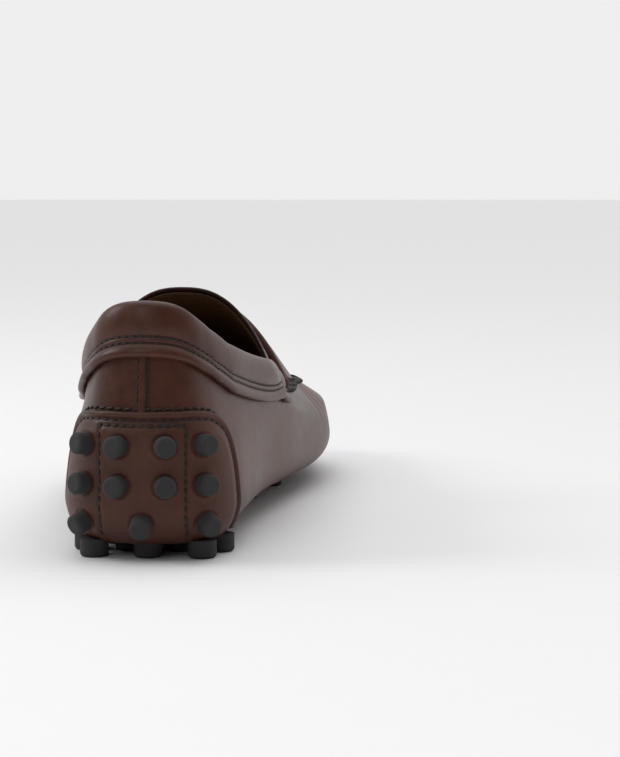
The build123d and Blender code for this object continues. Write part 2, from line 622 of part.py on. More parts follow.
def make_threads():
    """Collar rows, heel pad rows, and the apron seam on each side of the bend."""
    rows, band = [], MADE["collar_band"] + MADE["collar_band_core"]
    for share in COLLAR_ROWS:
        start, end = column_at(COLLAR_ROW_FRONT_Y, LATERAL), column_at(COLLAR_ROW_FRONT_Y, MEDIAL)
        places = []
        for k in range(1000):
            t = start + (end - start) * k / 999
            y = max(on_curve(OUTLINE, t)[1], 2.0)
            places.append((t, topline_height(y) - share * band_height(y)))
        rows += sew(wall_line(places, BAND_OFF), STITCH_PITCH, STITCH_LENGTH, band)
    save("collar_thread", Compound(children=rows))
    side = column_at(PAD_SIDE_Y, MEDIAL)
    half = [(share * side, z) for share, z in PAD_ROW]
    ring = half + [(-t, z) for t, z in half[-2::-1]]
    places = [on_open_curve(ring, (len(ring) - 1) * k / 800) for k in range(801)]
    lines = [places]
    heights = spaced(PANEL_LOW_Z, PANEL_TOP_Z, 90)
    for way in (MEDIAL, LATERAL):
        lines.append([(heel_parameter(way * PANEL_HALF, z, PAD_OFF), z) for z in heights])
    edge = heel_parameter(PANEL_HALF, PANEL_TOP_Z, PAD_OFF)
    lines.append([(t, PANEL_TOP_Z) for t in spaced(-edge * 0.92, edge * 0.92, 90)])
    rows = []
    for places in lines:
        rows += sew(wall_line(places, PAD_OFF), HEAVY_PITCH, HEAVY_LENGTH, MADE["heel_pad"])
    save("heel_pad_thread", Compound(children=rows))
    # The seam's stitches show in front of the strap, and leave the wedge at the bend free.
    seam = sew(seam_line(), HEAVY_PITCH, HEAVY_LENGTH)
    seam = [s for s in seam if s.center().Y > STRAP_FRONT_Y + HEAVY_LENGTH]
    lean = tan(radians(FLEX_HALF_WEDGE))
    for name, way in (("apron_thread_rear", -1), ("apron_thread_front", 1)):
        kept = []
        for stitch in seam:
            wedge = lean * (stitch.center().Z - FLEX_Z) + HEAVY_LENGTH
            if way * (stitch.center().Y - FLEX_Y) > wedge:
                kept.append(stitch)
        save(name, Compound(children=kept))


def spaced(a, b, count):
    """Count even steps from a to b."""
    return [a + (b - a) * k / (count - 1) for k in range(count)]


def on_open_curve(rows, t):
    """Point at parameter t of the open curve through rows."""
    i = min(int(t), len(rows) - 2)
    f = t - i
    picks = [rows[min(max(i + k, 0), len(rows) - 1)] for k in (-1, 0, 1, 2)]
    return [
        0.5 * (2 * b + (c - a) * f + (2 * a - 5 * b + 4 * c - d) * f**2 + (3 * b - a - 3 * c + d) * f**3)
        for a, b, c, d in zip(*picks)
    ]


def main():
    os.makedirs("parts", exist_ok=True)
    make_heel_sole()
    make_fore_sole()
    make_upper()
    make_heel_inside()
    make_footbed()
    make_collar()
    make_back_strip()
    make_strap()
    make_threads()


main()
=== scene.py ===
"""Looks of a left driving moccasin: leather, lining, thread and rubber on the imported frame.

Lengths in the pattern tables are millimetres counted from the back of the heel, with x to the inner side and
z up from the ground. on_frame() takes them to the frame in metres.
"""

import math

import bmesh
import bpy
import numpy as np
from mathutils import Matrix, Vector


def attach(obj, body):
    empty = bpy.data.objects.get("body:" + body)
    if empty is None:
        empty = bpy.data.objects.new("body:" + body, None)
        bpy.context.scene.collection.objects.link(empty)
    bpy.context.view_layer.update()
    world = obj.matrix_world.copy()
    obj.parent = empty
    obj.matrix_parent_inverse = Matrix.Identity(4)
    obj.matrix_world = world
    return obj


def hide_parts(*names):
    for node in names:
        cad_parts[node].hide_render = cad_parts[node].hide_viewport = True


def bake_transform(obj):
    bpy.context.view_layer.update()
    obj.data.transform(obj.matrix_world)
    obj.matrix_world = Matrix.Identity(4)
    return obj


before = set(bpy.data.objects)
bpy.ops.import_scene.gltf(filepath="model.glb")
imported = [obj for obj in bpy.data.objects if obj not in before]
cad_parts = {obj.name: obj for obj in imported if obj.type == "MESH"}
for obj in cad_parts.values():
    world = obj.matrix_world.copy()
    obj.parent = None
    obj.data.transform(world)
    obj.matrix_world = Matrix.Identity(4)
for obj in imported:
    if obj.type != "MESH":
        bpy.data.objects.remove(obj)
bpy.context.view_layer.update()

bl_info = {
    "name": "Driving moccasin",
    "version": (1, 0, 0),
    "blender": (4, 5, 0),
    "location": "View3D > Sidebar > Moccasin",
    "description": "Builds the leather, lining, thread and stage of a driving moccasin round its frame",
    "category": "Object",
}

CENTRE = (-3.8, 137.0)
SOLE_Z, ROLL_HEIGHT, WAIST_HEIGHT, MID_HEIGHT, TOP_HEIGHT = 7.2, 12.0, 17.0, 50.0, 87.0
TONGUE_Y = 104.0
BAND_FRONT_Y = 119.0
STRAP_BACK, STRAP_FRONT = 122.5, 152.5

# x, y, inset of the flat underside, inward lean at MID_HEIGHT and at TOP_HEIGHT, round from the heel
OUTLINE = np.array([
    (0.0, 0.0, 8.0, 1.0, 7.0), (15.0, 3.4, 8.0, 2.0, 8.5), (25.2, 13.0, 8.0, 4.5, 11.0),
    (30.2, 32.0, 9.0, 5.0, 9.5), (31.5, 58.0, 10.0, 2.5, 5.0), (33.5, 88.0, 13.0, 0.0, 0.5),
    (37.5, 118.0, 15.0, 0.5, 1.0), (41.5, 148.0, 13.0, 3.0, 5.0), (45.5, 175.0, 11.0, 7.0, 9.0),
    (47.0, 199.0, 11.0, 8.5, 10.0), (45.0, 225.0, 12.0, 9.0, 10.0), (39.0, 250.0, 14.0, 9.0, 10.0),
    (26.5, 270.5, 16.0, 9.0, 10.0), (6.0, 281.0, 18.0, 9.0, 10.0), (-14.5, 277.5, 16.0, 9.0, 10.0),
    (-31.0, 261.0, 14.0, 9.0, 10.0), (-43.0, 234.0, 12.0, 9.0, 10.0), (-50.5, 205.0, 11.0, 8.5, 10.0),
    (-54.5, 176.0, 10.0, 7.5, 9.0), (-53.0, 146.0, 10.0, 7.0, 9.0), (-47.5, 116.0, 11.0, 7.0, 9.0),
    (-41.0, 86.0, 11.0, 6.0, 9.0), (-35.0, 56.0, 10.0, 5.5, 9.0), (-30.8, 32.0, 9.0, 5.0, 9.5),
    (-25.2, 13.0, 8.0, 4.5, 11.0), (-15.0, 3.4, 8.0, 2.0, 8.5),
])
TURN = len(OUTLINE)

# y, ridge height, x of the ridge, half width, drop at that half width
CROWN = np.array([
    (60.0, 99.0, -1.0, 36.0, 40.0), (90.0, 91.5, -1.5, 37.0, 41.0), (108.0, 86.0, -2.0, 38.5, 41.0),
    (130.0, 76.5, -3.0, 41.5, 38.5), (155.0, 66.0, -4.5, 46.0, 33.0), (180.0, 57.0, -4.5, 49.0, 26.0),
    (205.0, 50.5, -3.5, 49.5, 20.0), (230.0, 45.5, -1.0, 46.0, 16.0), (252.0, 40.0, 2.0, 42.0, 13.0),
    (270.0, 33.5, 4.0, 40.0, 11.0), (284.0, 26.5, 5.0, 38.0, 10.0), (300.0, 17.0, 5.0, 38.0, 10.0),
])
TOPLINE = np.array([
    (-15.0, 86.9), (2.0, 86.9), (8.0, 86.0), (14.0, 81.5), (22.0, 76.5), (36.0, 70.5), (60.0, 65.0),
    (84.0, 61.0), (98.0, 59.5), (104.0, 58.9), (125.0, 56.6),
])
SEAM = np.array([
    (31.4, 104.0), (32.0, 112.0), (32.8, 140.0), (33.0, 172.0), (32.5, 200.0), (29.5, 224.0), (22.5, 244.0),
    (9.0, 256.5), (-6.0, 255.5), (-20.0, 245.0), (-30.5, 226.0), (-37.0, 200.0), (-40.0, 172.0),
    (-39.0, 140.0), (-35.5, 112.0), (-34.2, 104.0),
])
FORE_PAD = np.array([
    (10.0, 122.0), (24.0, 134.0), (31.5, 160.0), (34.5, 188.0), (33.0, 214.0), (26.0, 238.0), (14.0, 254.0),
    (0.0, 257.0), (-13.0, 250.0), (-26.5, 232.0), (-36.0, 206.0), (-41.5, 178.0), (-40.0, 152.0),
    (-30.0, 130.0), (-10.0, 120.0),
])


# Edge of the heel pad, half of it: share of the way round to HEEL_PAD_SIDE_Y, and height.
HEEL_PAD_EDGE = np.array([
    (0.0, 50.6), (0.3, 50.6), (0.52, 50.3), (0.74, 49.0), (0.90, 45.0), (0.975, 39.0), (1.0, 31.0),
])
HEEL_PAD_SIDE_Y = 24.0
HEEL_PAD_FRONT = np.array([
    (-24.6, 42.0), (-20.5, 52.0), (-12.0, 58.0), (0.0, 60.0), (12.0, 58.0), (20.5, 52.0), (24.6, 42.0),
])
PANEL_HALF, PANEL_TOP = 14.2, 45.6  # stitched rectangle between the studs

# Studs: height and distances round the heel on its back, y and x of each under it, and their radii.
BACK_STUDS = (
    (39.0, (-21.5, -7.9, 7.9, 21.5)), (25.8, (-22.0, -7.9, 7.9, 22.0)), (13.4, (-22.5, 0.0, 22.5)),
)
HEEL_STUDS = (
    (11.5, (-18.5, 0.0, 18.5)), (24.5, (-23.0, -8.6, 8.6, 23.0)), (38.0, (-15.5, 0.0, 15.5)),
    (50.0, (-8.0, 8.0)),
)
SMALL_STUD, GROUND_STUD = 3.65, 4.9


# ---- the foot form -------------------------------------------------------------------------------
def spline(before, here, there, after, f):
    """Catmull-Rom between here and there."""
    a, b, c, d = before, here, there, after
    return 0.5 * (2 * b + (c - a) * f + (2 * a - 5 * b + 4 * c - d) * f**2 + (3 * b - a - 3 * c + d) * f**3)


def round_curve(rows, t):
    """Points of the closed curve through rows, at parameters t."""
    t = np.asarray(t, float)
    i = np.floor(t).astype(int)
    f = (t - i)[..., None]
    return spline(*(rows[(i + k) % len(rows)] for k in (-1, 0, 1, 2)), f)


def open_curve(rows, t):
    """Points of the open curve through rows, at parameters t."""
    t = np.clip(np.asarray(t, float), 0, len(rows) - 1.000001)
    i = np.floor(t).astype(int)
    f = (t - i)[..., None]
    return spline(*(rows[np.clip(i + k, 0, len(rows) - 1)] for k in (-1, 0, 1, 2)), f)


def between(rows, y):
    """Smooth values at y, for rows sorted by their first column."""
    y = np.clip(np.asarray(y, float), rows[0, 0], rows[-1, 0])
    i = np.clip(np.searchsorted(rows[:, 0], y, side="left") - 1, 0, len(rows) - 2)
    f = ((y - rows[i, 0]) / (rows[i + 1, 0] - rows[i, 0]))[..., None]
    return spline(*(rows[np.clip(i + k, 0, len(rows) - 1)] for k in (-1, 0, 1, 2)), f)[..., 1:]


def plan_normal(t):
    """Outward direction in plan."""
    step = round_curve(OUTLINE, np.asarray(t) + 0.05) - round_curve(OUTLINE, np.asarray(t) - 0.05)
    out = np.stack([step[..., 1], -step[..., 0]], -1)
    return out / np.linalg.norm(out, axis=-1, keepdims=True)


def wall(t, z, off=0.0):
    """Points of the wall."""
    t, z = np.broadcast_arrays(np.asarray(t, float), np.asarray(z, float))
    x, y, roll, mid, top = np.moveaxis(round_curve(OUTLINE, t), -1, 0)
    normal = plan_normal(t)
    height = ROLL_HEIGHT - off
    share = np.clip((z - SOLE_Z - off) / height, 0, 1)
    inward = off + (roll - off) * (1 - np.sqrt(np.clip(1 - (1 - share) ** 2, 0, 1)))
    low = mid * np.clip((z - WAIST_HEIGHT) / (MID_HEIGHT - WAIST_HEIGHT), 0, 1) ** 1.6
    inward = inward + low + (top - mid) * np.clip((z - MID_HEIGHT) / (TOP_HEIGHT - MID_HEIGHT), 0, 2)
    return np.stack([x - normal[..., 0] * inward, y - normal[..., 1] * inward, z], -1)


def crown(x, y, off=0.0):
    """Height of the forefoot's crown."""
    ridge, middle, half, drop = np.moveaxis(between(CROWN, y), -1, 0)
    return ridge - off - drop * (np.abs(x - middle) / half) ** 2.6


def topline(y):
    """Height of the edge of the opening."""
    return between(TOPLINE, y)[..., 0]


def along(points):
    """Distances along a polyline."""
    return np.concatenate([[0], np.cumsum(np.linalg.norm(np.diff(points, axis=0), axis=1))])


def resample(points, places):
    """Points of a polyline at distances along it."""
    run = along(points)
    return np.stack([np.interp(places, run, points[:, k]) for k in range(3)], -1)


def even(points, count):
    """The polyline with count evenly spaced points."""
    return resample(points, np.linspace(0, along(points)[-1], count))


def column_at(y, side):
    """OUTLINE parameter on the inner (1) or outer (-1) side at y."""
    ts = np.linspace(0.3, 12.5, 800) if side > 0 else np.linspace(TURN - 0.3, 13.5, 800)
    return float(np.interp(y, round_curve(OUTLINE, ts)[:, 1], ts))


FRONT_FROM, FRONT_TO = column_at(TONGUE_Y, 1), column_at(TONGUE_Y, -1)
_run_t = np.linspace(FRONT_FROM, FRONT_TO, 400)
_run_d = along(np.c_[round_curve(OUTLINE, _run_t)[:, :2], np.zeros(400)])
_seam_t = np.linspace(0, len(SEAM) - 1, 400)
_seam_d = along(np.c_[open_curve(SEAM, _seam_t), np.zeros(400)])
_profiles = {}


def seam_point(t):
    """Plan point of the apron seam that the column at t runs to."""
    share = np.interp(t, _run_t, _run_d) / _run_d[-1]
    return open_curve(SEAM, np.interp(share * _seam_d[-1], _seam_d, _seam_t))


def profile(t, off=0.0):
    """Line on the form from the edge of the flat underside up to the opening or the apron seam."""
    t = t % TURN
    key = (round(t, 5), off)
    if key in _profiles:
        return _profiles[key]
    front = FRONT_FROM <= t <= FRONT_TO
    bend = SOLE_Z + off + (ROLL_HEIGHT - off) * (1 - np.cos(np.linspace(0, math.pi / 2, 10)))
    zs = np.concatenate([bend, np.linspace(bend[-1], 96, 90)[1:]])
    line = wall(t, zs, off)
    over = np.nonzero(line[:, 2] > crown(line[:, 0], line[:, 1], off))[0]
    if len(over):
        k = max(over[0], 1)
        low, high = line[k - 1], line[k]
        gap_low = crown(low[0], low[1], off) - low[2]
        gap_high = high[2] - crown(high[0], high[1], off)
        corner = low + (high - low) * gap_low / max(gap_low + gap_high, 1e-6)
        if front:
            end = seam_point(t)
            steps = np.linspace(0, 1, 40)[1:, None]
            plan = corner[:2] + (end - corner[:2]) * steps
        else:
            plan = corner[:2] - plan_normal(t) * np.arange(1, 26)[:, None] * 0.8
        rise = np.c_[plan, crown(plan[:, 0], plan[:, 1], off)]
        line = np.vstack([line[:k], corner, rise])
    if not front:
        limit = topline(line[:, 1])
        past = np.nonzero(line[:, 2] > limit)[0]
        if len(past):
            k = past[0]
            a, b = line[k - 1], line[k]
            f = (limit[k - 1] - a[2]) / max((b[2] - a[2]) - (limit[k] - limit[k - 1]), 1e-6)
            line = np.vstack([line[:k], a + (b - a) * min(max(f, 0), 1)])
    line = even(line, 160)
    for _ in range(6):
        line[1:-1] = (line[:-2] + 2 * line[1:-1] + line[2:]) / 4
    _profiles[key] = line
    return line


def skin(ts, downs, off=0.0):
    """Grid of points, a column for each of ts, at distances downs from the upper edge."""
    grid = []
    for k, t in enumerate(ts):
        line = profile(t, off)[::-1]
        row = np.asarray(downs[k] if np.ndim(downs) > 1 else downs, float)
        grid.append(resample(line, row))
    return np.array(grid)


def outward(grid, closed=False, flip=False):
    """Unit normals of a grid whose first direction runs round the foot and second runs down."""
    across = np.gradient(grid, axis=0)
    if closed:
        across = (np.roll(grid, -1, 0) - np.roll(grid, 1, 0)) / 2
    down = np.gradient(grid, axis=1)
    normal = np.cross(down, across)
    length = np.linalg.norm(normal, axis=-1, keepdims=True)
    normal = normal / np.where(length < 1e-9, 1, length)
    return -normal if flip else normal


def on_frame(points):
    """Pattern millimetres to frame metres."""
    points = np.asarray(points, float)
    return (points - np.array([CENTRE[0], CENTRE[1], 0.0])) * 0.001


def stands_for(obj, *names):
    """Hides the nodes of the frame that a piece is shown for."""
    names = [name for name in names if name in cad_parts]
    if names:
        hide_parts(*names)


# ---- modelling helpers ---------------------------------------------------------------------------
def deselect():
    if bpy.context.mode != "OBJECT":
        bpy.ops.object.mode_set(mode="OBJECT")
    bpy.ops.object.select_all(action="DESELECT")


def activate(obj):
    deselect()
    obj.select_set(True)
    bpy.context.view_layer.objects.active = obj


def apply_modifier(obj, kind, **values):
    """Adds a modifier, sets it and applies it."""
    activate(obj)
    modifier = obj.modifiers.new(kind.title(), kind)
    for key, value in values.items():
        setattr(modifier, key, value)
    bpy.ops.object.modifier_apply(modifier=modifier.name)


def cut_leather(name, grid, thickness=0.0, closed=False, smooth=1, merge=0.02):
    """A leather piece: a grid primitive laid on the form's points, given its thickness and smoothed.

    thickness in mm goes inwards. closed joins the last column to the first.
    """
    columns, rows = grid.shape[:2]
    deselect()
    spans = columns if closed else columns - 1
    bpy.ops.mesh.primitive_grid_add(x_subdivisions=rows - 1, y_subdivisions=spans, size=1)
    obj = bpy.context.object
    obj.name = obj.data.name = name
    laid = np.concatenate([grid, grid[:1]], 0) if closed else grid
    obj.data.vertices.foreach_set("co", on_frame(laid).reshape(-1))
    obj.data.update()
    bpy.ops.object.mode_set(mode="EDIT")
    bpy.ops.mesh.select_all(action="SELECT")
    bpy.ops.mesh.remove_doubles(threshold=merge * 0.001)
    bpy.ops.object.mode_set(mode="OBJECT")
    if thickness:
        apply_modifier(obj, "SOLIDIFY", thickness=thickness * 0.001, offset=-1.0, use_rim=True)
    if smooth:
        levels = dict(levels=smooth, render_levels=smooth)
        apply_modifier(obj, "SUBSURF", boundary_smooth="PRESERVE_CORNERS", **levels)
    activate(obj)
    bpy.ops.object.shade_smooth()
    return obj


def facing(obj):
    """Makes the normals of a closed piece point outwards."""
    activate(obj)
    bpy.ops.object.mode_set(mode="EDIT")
    bpy.ops.mesh.select_all(action="SELECT")
    bpy.ops.mesh.normals_make_consistent(inside=False)
    bpy.ops.object.mode_set(mode="OBJECT")
    return obj


def weld(name, parts):
    """Joins copies into one piece."""
    deselect()
    for part in parts:
        part.select_set(True)
    bpy.context.view_layer.objects.active = parts[0]
    bpy.ops.object.join()
    obj = bpy.context.object
    obj.name = obj.data.name = name
    return obj


def stitch_model(length, radius):
    """One stitch: a capsule lying along X, flattened a little."""
    deselect()
    bpy.ops.mesh.primitive_uv_sphere_add(segments=8, ring_count=6, radius=radius * 0.001)
    obj = bpy.context.object
    obj.data.transform(Matrix.Rotation(math.pi / 2, 4, "Y"))
    for sign in (-1, 1):
        bpy.ops.object.mode_set(mode="EDIT")
        bpy.ops.mesh.select_all(action="DESELECT")
        bpy.ops.object.mode_set(mode="OBJECT")
        for vertex in obj.data.vertices:
            vertex.select = vertex.co.x * sign > 1e-6
        bpy.ops.object.mode_set(mode="EDIT")
        bpy.ops.transform.translate(value=(sign * (length / 2 - radius) * 0.001, 0, 0))
        bpy.ops.object.mode_set(mode="OBJECT")
    bpy.ops.object.shade_smooth()
    return obj


def stitches(name, line, normals, pitch, length, radius, sink=0.0, slant=0.0):
    """Row of stitches along a line of points, each turned to the leather under it."""
    model = stitch_model(length, radius)
    run = along(line)
    count = max(int(round(run[-1] / pitch)), 1)
    places = (np.arange(count) + 0.5) * run[-1] / count
    centre, normal = resample(line, places), resample_like(line, normals, places)
    after, before = (np.clip(places + step, 0, run[-1]) for step in (0.4, -0.4))
    ahead = resample(line, after) - resample(line, before)
    copies = []
    for k in range(count):
        up = Vector(normal[k]).normalized()
        forward = Vector(ahead[k]).normalized()
        side = up.cross(forward).normalized()
        forward = side.cross(up).normalized()
        if slant:
            turn = Matrix.Rotation(math.radians(slant), 3, up)
            forward, side = turn @ forward, turn @ side
        place = Vector(on_frame(centre[k] - normal[k] * sink))
        copy = model.copy()
        copy.data = model.data.copy()
        basis = Matrix((forward, side, up)).transposed().to_4x4()
        copy.data.transform(Matrix.Translation(place) @ basis @ Matrix.Diagonal((1, 1, 0.8, 1)))
        bpy.context.collection.objects.link(copy)
        copies.append(copy)
    bpy.data.objects.remove(model)
    return weld(name, copies)


def resample_like(line, values, places):
    """Values given at a polyline's points, read at distances along it."""
    run = along(line)
    out = np.stack([np.interp(places, run, values[:, k]) for k in range(3)], -1)
    return out / np.linalg.norm(out, axis=1, keepdims=True)


# ---- shader effects ------------------------------------------------------------------------------
def effect(name, inputs, outputs, build):
    """A shader node group, built once."""
    if name in bpy.data.node_groups:
        return bpy.data.node_groups[name]
    group = bpy.data.node_groups.new(name, "ShaderNodeTree")
    for label, kind, value in inputs:
        socket = group.interface.new_socket(label, in_out="INPUT", socket_type=kind)
        if value is not None:
            socket.default_value = value
    for label, kind in outputs:
        group.interface.new_socket(label, in_out="OUTPUT", socket_type=kind)
    given, out = group.nodes.new("NodeGroupInput"), group.nodes.new("NodeGroupOutput")
    build(group.nodes, group.links, given.outputs, out.inputs)
    return group


def add(nodes, kind, **values):
    """A node with its properties set."""
    node = nodes.new(kind)
    for key, value in values.items():
        setattr(node, key, value)
    return node


def build_grain(nodes, links, given, out):
    """Fine pebbled grain with pores and soft wrinkles."""
    place = add(nodes, "ShaderNodeTexCoord").outputs["Object"]
    cells = add(nodes, "ShaderNodeTexVoronoi", feature="F1", distance="EUCLIDEAN")
    cells.inputs["Randomness"].default_value = 0.9
    wrinkle = add(nodes, "ShaderNodeTexNoise")
    wrinkle.inputs["Detail"].default_value = 6
    wrinkle.inputs["Distortion"].default_value = 0.6
    wide = add(nodes, "ShaderNodeMath", operation="MULTIPLY")
    wide.inputs[1].default_value = 0.16
    for node in (cells, wrinkle):
        links.new(place, node.inputs["Vector"])
    links.new(given["Scale"], cells.inputs["Scale"])
    links.new(given["Scale"], wide.inputs[0])
    links.new(wide.outputs[0], wrinkle.inputs["Scale"])
    pit = add(nodes, "ShaderNodeMapRange", interpolation_type="SMOOTHSTEP")
    pit.inputs["From Max"].default_value = 0.7
    links.new(cells.outputs["Distance"], pit.inputs["Value"])
    mixed = add(nodes, "ShaderNodeMix", data_type="FLOAT")
    links.new(given["Wrinkle"], mixed.inputs["Factor"])
    links.new(pit.outputs["Result"], mixed.inputs["A"])
    links.new(wrinkle.outputs["Fac"], mixed.inputs["B"])
    links.new(mixed.outputs["Result"], out["Height"])


def build_mottle(nodes, links, given, out):
    """Uneven dye: slow clouds with faint finer patches."""
    place = add(nodes, "ShaderNodeTexCoord").outputs["Object"]
    slow = add(nodes, "ShaderNodeTexNoise")
    slow.inputs["Scale"].default_value = 22
    slow.inputs["Detail"].default_value = 3
    fine = add(nodes, "ShaderNodeTexNoise")
    fine.inputs["Scale"].default_value = 240
    fine.inputs["Detail"].default_value = 4
    for node in (slow, fine):
        links.new(place, node.inputs["Vector"])
    both = add(nodes, "ShaderNodeMix", data_type="FLOAT")
    both.inputs["Factor"].default_value = 0.3
    links.new(slow.outputs["Fac"], both.inputs["A"])
    links.new(fine.outputs["Fac"], both.inputs["B"])
    spread = add(nodes, "ShaderNodeMapRange", interpolation_type="SMOOTHSTEP")
    spread.inputs["From Min"].default_value = 0.32
    spread.inputs["From Max"].default_value = 0.68
    links.new(both.outputs["Result"], spread.inputs["Value"])
    light = add(nodes, "ShaderNodeMix", data_type="RGBA")
    links.new(spread.outputs["Result"], light.inputs["Factor"])
    links.new(given["Dark"], light.inputs[6])
    links.new(given["Light"], light.inputs[7])
    links.new(light.outputs[2], out["Colour"])
    links.new(spread.outputs["Result"], out["Mask"])


def build_edge_dye_and_painted_shade(nodes, links, given, out):
    """Darkens a colour where the piece's edge attribute is high: dyed cut edges, and painted shade in stitch
    grooves, seam crevices, pinches and under rolled edges.
    """
    edge = add(nodes, "ShaderNodeAttribute", attribute_name="edge")
    place = add(nodes, "ShaderNodeTexCoord").outputs["Object"]
    ragged = add(nodes, "ShaderNodeTexNoise")
    ragged.inputs["Scale"].default_value = 300
    links.new(place, ragged.inputs["Vector"])
    shake = add(nodes, "ShaderNodeMapRange")
    shake.inputs["To Min"].default_value = 0.75
    shake.inputs["To Max"].default_value = 1.15
    links.new(ragged.outputs["Fac"], shake.inputs["Value"])
    amount = add(nodes, "ShaderNodeMath", operation="MULTIPLY", use_clamp=True)
    links.new(edge.outputs["Fac"], amount.inputs[0])
    links.new(shake.outputs["Result"], amount.inputs[1])
    strong = add(nodes, "ShaderNodeMath", operation="MULTIPLY", use_clamp=True)
    links.new(amount.outputs[0], strong.inputs[0])
    links.new(given["Strength"], strong.inputs[1])
    mix = add(nodes, "ShaderNodeMix", data_type="RGBA")
    links.new(strong.outputs[0], mix.inputs["Factor"])
    links.new(given["Colour"], mix.inputs[6])
    links.new(given["Edge And Shade Colour"], mix.inputs[7])
    links.new(mix.outputs[2], out["Colour"])
    links.new(strong.outputs[0], out["Mask"])


def grain_effect():
    return effect("leather_grain", [("Scale", "NodeSocketFloat", 900), ("Wrinkle", "NodeSocketFloat", 0.4)],
                  [("Height", "NodeSocketFloat")], build_grain)


def mottle_effect():
    return effect("uneven_dye", [("Dark", "NodeSocketColor", None), ("Light", "NodeSocketColor", None)],
                  [("Colour", "NodeSocketColor"), ("Mask", "NodeSocketFloat")], build_mottle)


def edge_dye_and_painted_shade_effect():
    given = [("Colour", "NodeSocketColor", None), ("Edge And Shade Colour", "NodeSocketColor", None),
             ("Strength", "NodeSocketFloat", 1.0)]
    return effect("edge_dye_and_painted_shade", given, [("Colour", "NodeSocketColor"), ("Mask", "NodeSocketFloat")],
                  build_edge_dye_and_painted_shade)


def leather(name, dark, light, rough, grain, wrinkle, bump, coat=0.0, edge=(0.012, 0.006, 0.005)):
    """Dyed leather with grain, uneven dye, dyed cut edges and painted shade in its grooves and seams; edge
    is the colour of both.
    """
    if name in bpy.data.materials:
        return bpy.data.materials[name]
    material = bpy.data.materials.new(name)
    material.use_nodes = True
    nodes, links = material.node_tree.nodes, material.node_tree.links
    shader = nodes["Principled BSDF"]
    dye = add(nodes, "ShaderNodeGroup", node_tree=mottle_effect())
    dye.inputs["Dark"].default_value = (*dark, 1)
    dye.inputs["Light"].default_value = (*light, 1)
    # the edge attribute darkens dyed cut edges and also paints shade into grooves, seam crevices and under
    # rolled edges
    edge_dye_and_shade = add(nodes, "ShaderNodeGroup", node_tree=edge_dye_and_painted_shade_effect())
    edge_dye_and_shade.inputs["Edge And Shade Colour"].default_value = (*edge, 1)
    edge_dye_and_shade.inputs["Strength"].default_value = 1.0
    links.new(dye.outputs["Colour"], edge_dye_and_shade.inputs["Colour"])
    links.new(edge_dye_and_shade.outputs["Colour"], shader.inputs["Base Color"])
    height = add(nodes, "ShaderNodeGroup", node_tree=grain_effect())
    height.inputs["Scale"].default_value = grain
    height.inputs["Wrinkle"].default_value = wrinkle
    ridge = add(nodes, "ShaderNodeBump")
    ridge.inputs["Strength"].default_value = bump
    ridge.inputs["Distance"].default_value = 0.0004
    links.new(height.outputs["Height"], ridge.inputs["Height"])
    links.new(ridge.outputs["Normal"], shader.inputs["Normal"])
    gloss = add(nodes, "ShaderNodeMapRange")
    gloss.inputs["To Min"].default_value = rough - 0.05
    gloss.inputs["To Max"].default_value = rough + 0.07
    links.new(dye.outputs["Mask"], gloss.inputs["Value"])
    links.new(gloss.outputs["Result"], shader.inputs["Roughness"])
    shader.inputs["Specular IOR Level"].default_value = 0.3
    shader.inputs["Coat Weight"].default_value = coat
    shader.inputs["Coat Roughness"].default_value = 0.28
    return material


def plain(name, dark, light, rough, bump=0.1, scale=1400, specular=0.5):
    """Rubber, thread, foam or board: two close shades with a fine tooth."""
    if name in bpy.data.materials:
        return bpy.data.materials[name]
    material = bpy.data.materials.new(name)
    material.use_nodes = True
    nodes, links = material.node_tree.nodes, material.node_tree.links
    shader = nodes["Principled BSDF"]
    dye = add(nodes, "ShaderNodeGroup", node_tree=mottle_effect())
    dye.inputs["Dark"].default_value = (*dark, 1)
    dye.inputs["Light"].default_value = (*light, 1)
    links.new(dye.outputs["Colour"], shader.inputs["Base Color"])
    height = add(nodes, "ShaderNodeGroup", node_tree=grain_effect())
    height.inputs["Scale"].default_value = scale
    height.inputs["Wrinkle"].default_value = 0.7
    ridge = add(nodes, "ShaderNodeBump")
    ridge.inputs["Strength"].default_value = bump
    ridge.inputs["Distance"].default_value = 0.0003
    links.new(height.outputs["Height"], ridge.inputs["Height"])
    links.new(ridge.outputs["Normal"], shader.inputs["Normal"])
    gloss = add(nodes, "ShaderNodeMapRange")
    gloss.inputs["To Min"].default_value = rough - 0.04
    gloss.inputs["To Max"].default_value = rough + 0.06
    links.new(dye.outputs["Mask"], gloss.inputs["Value"])
    links.new(gloss.outputs["Result"], shader.inputs["Roughness"])
    shader.inputs["Specular IOR Level"].default_value = specular
    return material


def finish_of(obj, material):
    obj.data.materials.clear()
    obj.data.materials.append(material)
    return obj


def edge_shade(obj, values_at):
    """Writes the edge attribute, 0 to 1 at each vertex, from a function of the vertices' pattern points; it
    marks dyed cut edges and painted shade alike.
    """
    co = np.empty(len(obj.data.vertices) * 3)
    obj.data.vertices.foreach_get("co", co)
    points = co.reshape(-1, 3) * 1000 + np.array([CENTRE[0], CENTRE[1], 0.0])
    attribute = obj.data.attributes.new("edge", "FLOAT", "POINT")
    attribute.data.foreach_set("value", np.clip(values_at(points), 0, 1).astype(np.float32))


def nearest(points, line, chunk=4000):
    """Distance from each point to the closest point of a dense line."""
    out = np.empty(len(points))
    for k in range(0, len(points), chunk):
        part = points[k:k + chunk]
        out[k:k + chunk] = np.sqrt(((part[:, None] - line[None]) ** 2).sum(-1).min(1))
    return out


def upper_leather():
    c = colours()
    return leather("calf_upper", c.upper_dark, c.upper_light, 0.38, grain=1100, wrinkle=0.45, bump=0.10,
                   coat=0.03)


def pad_leather():
    c = colours()
    return leather("calf_pad", c.pad_dark, c.pad_light, 0.44, grain=900, wrinkle=0.35, bump=0.14)


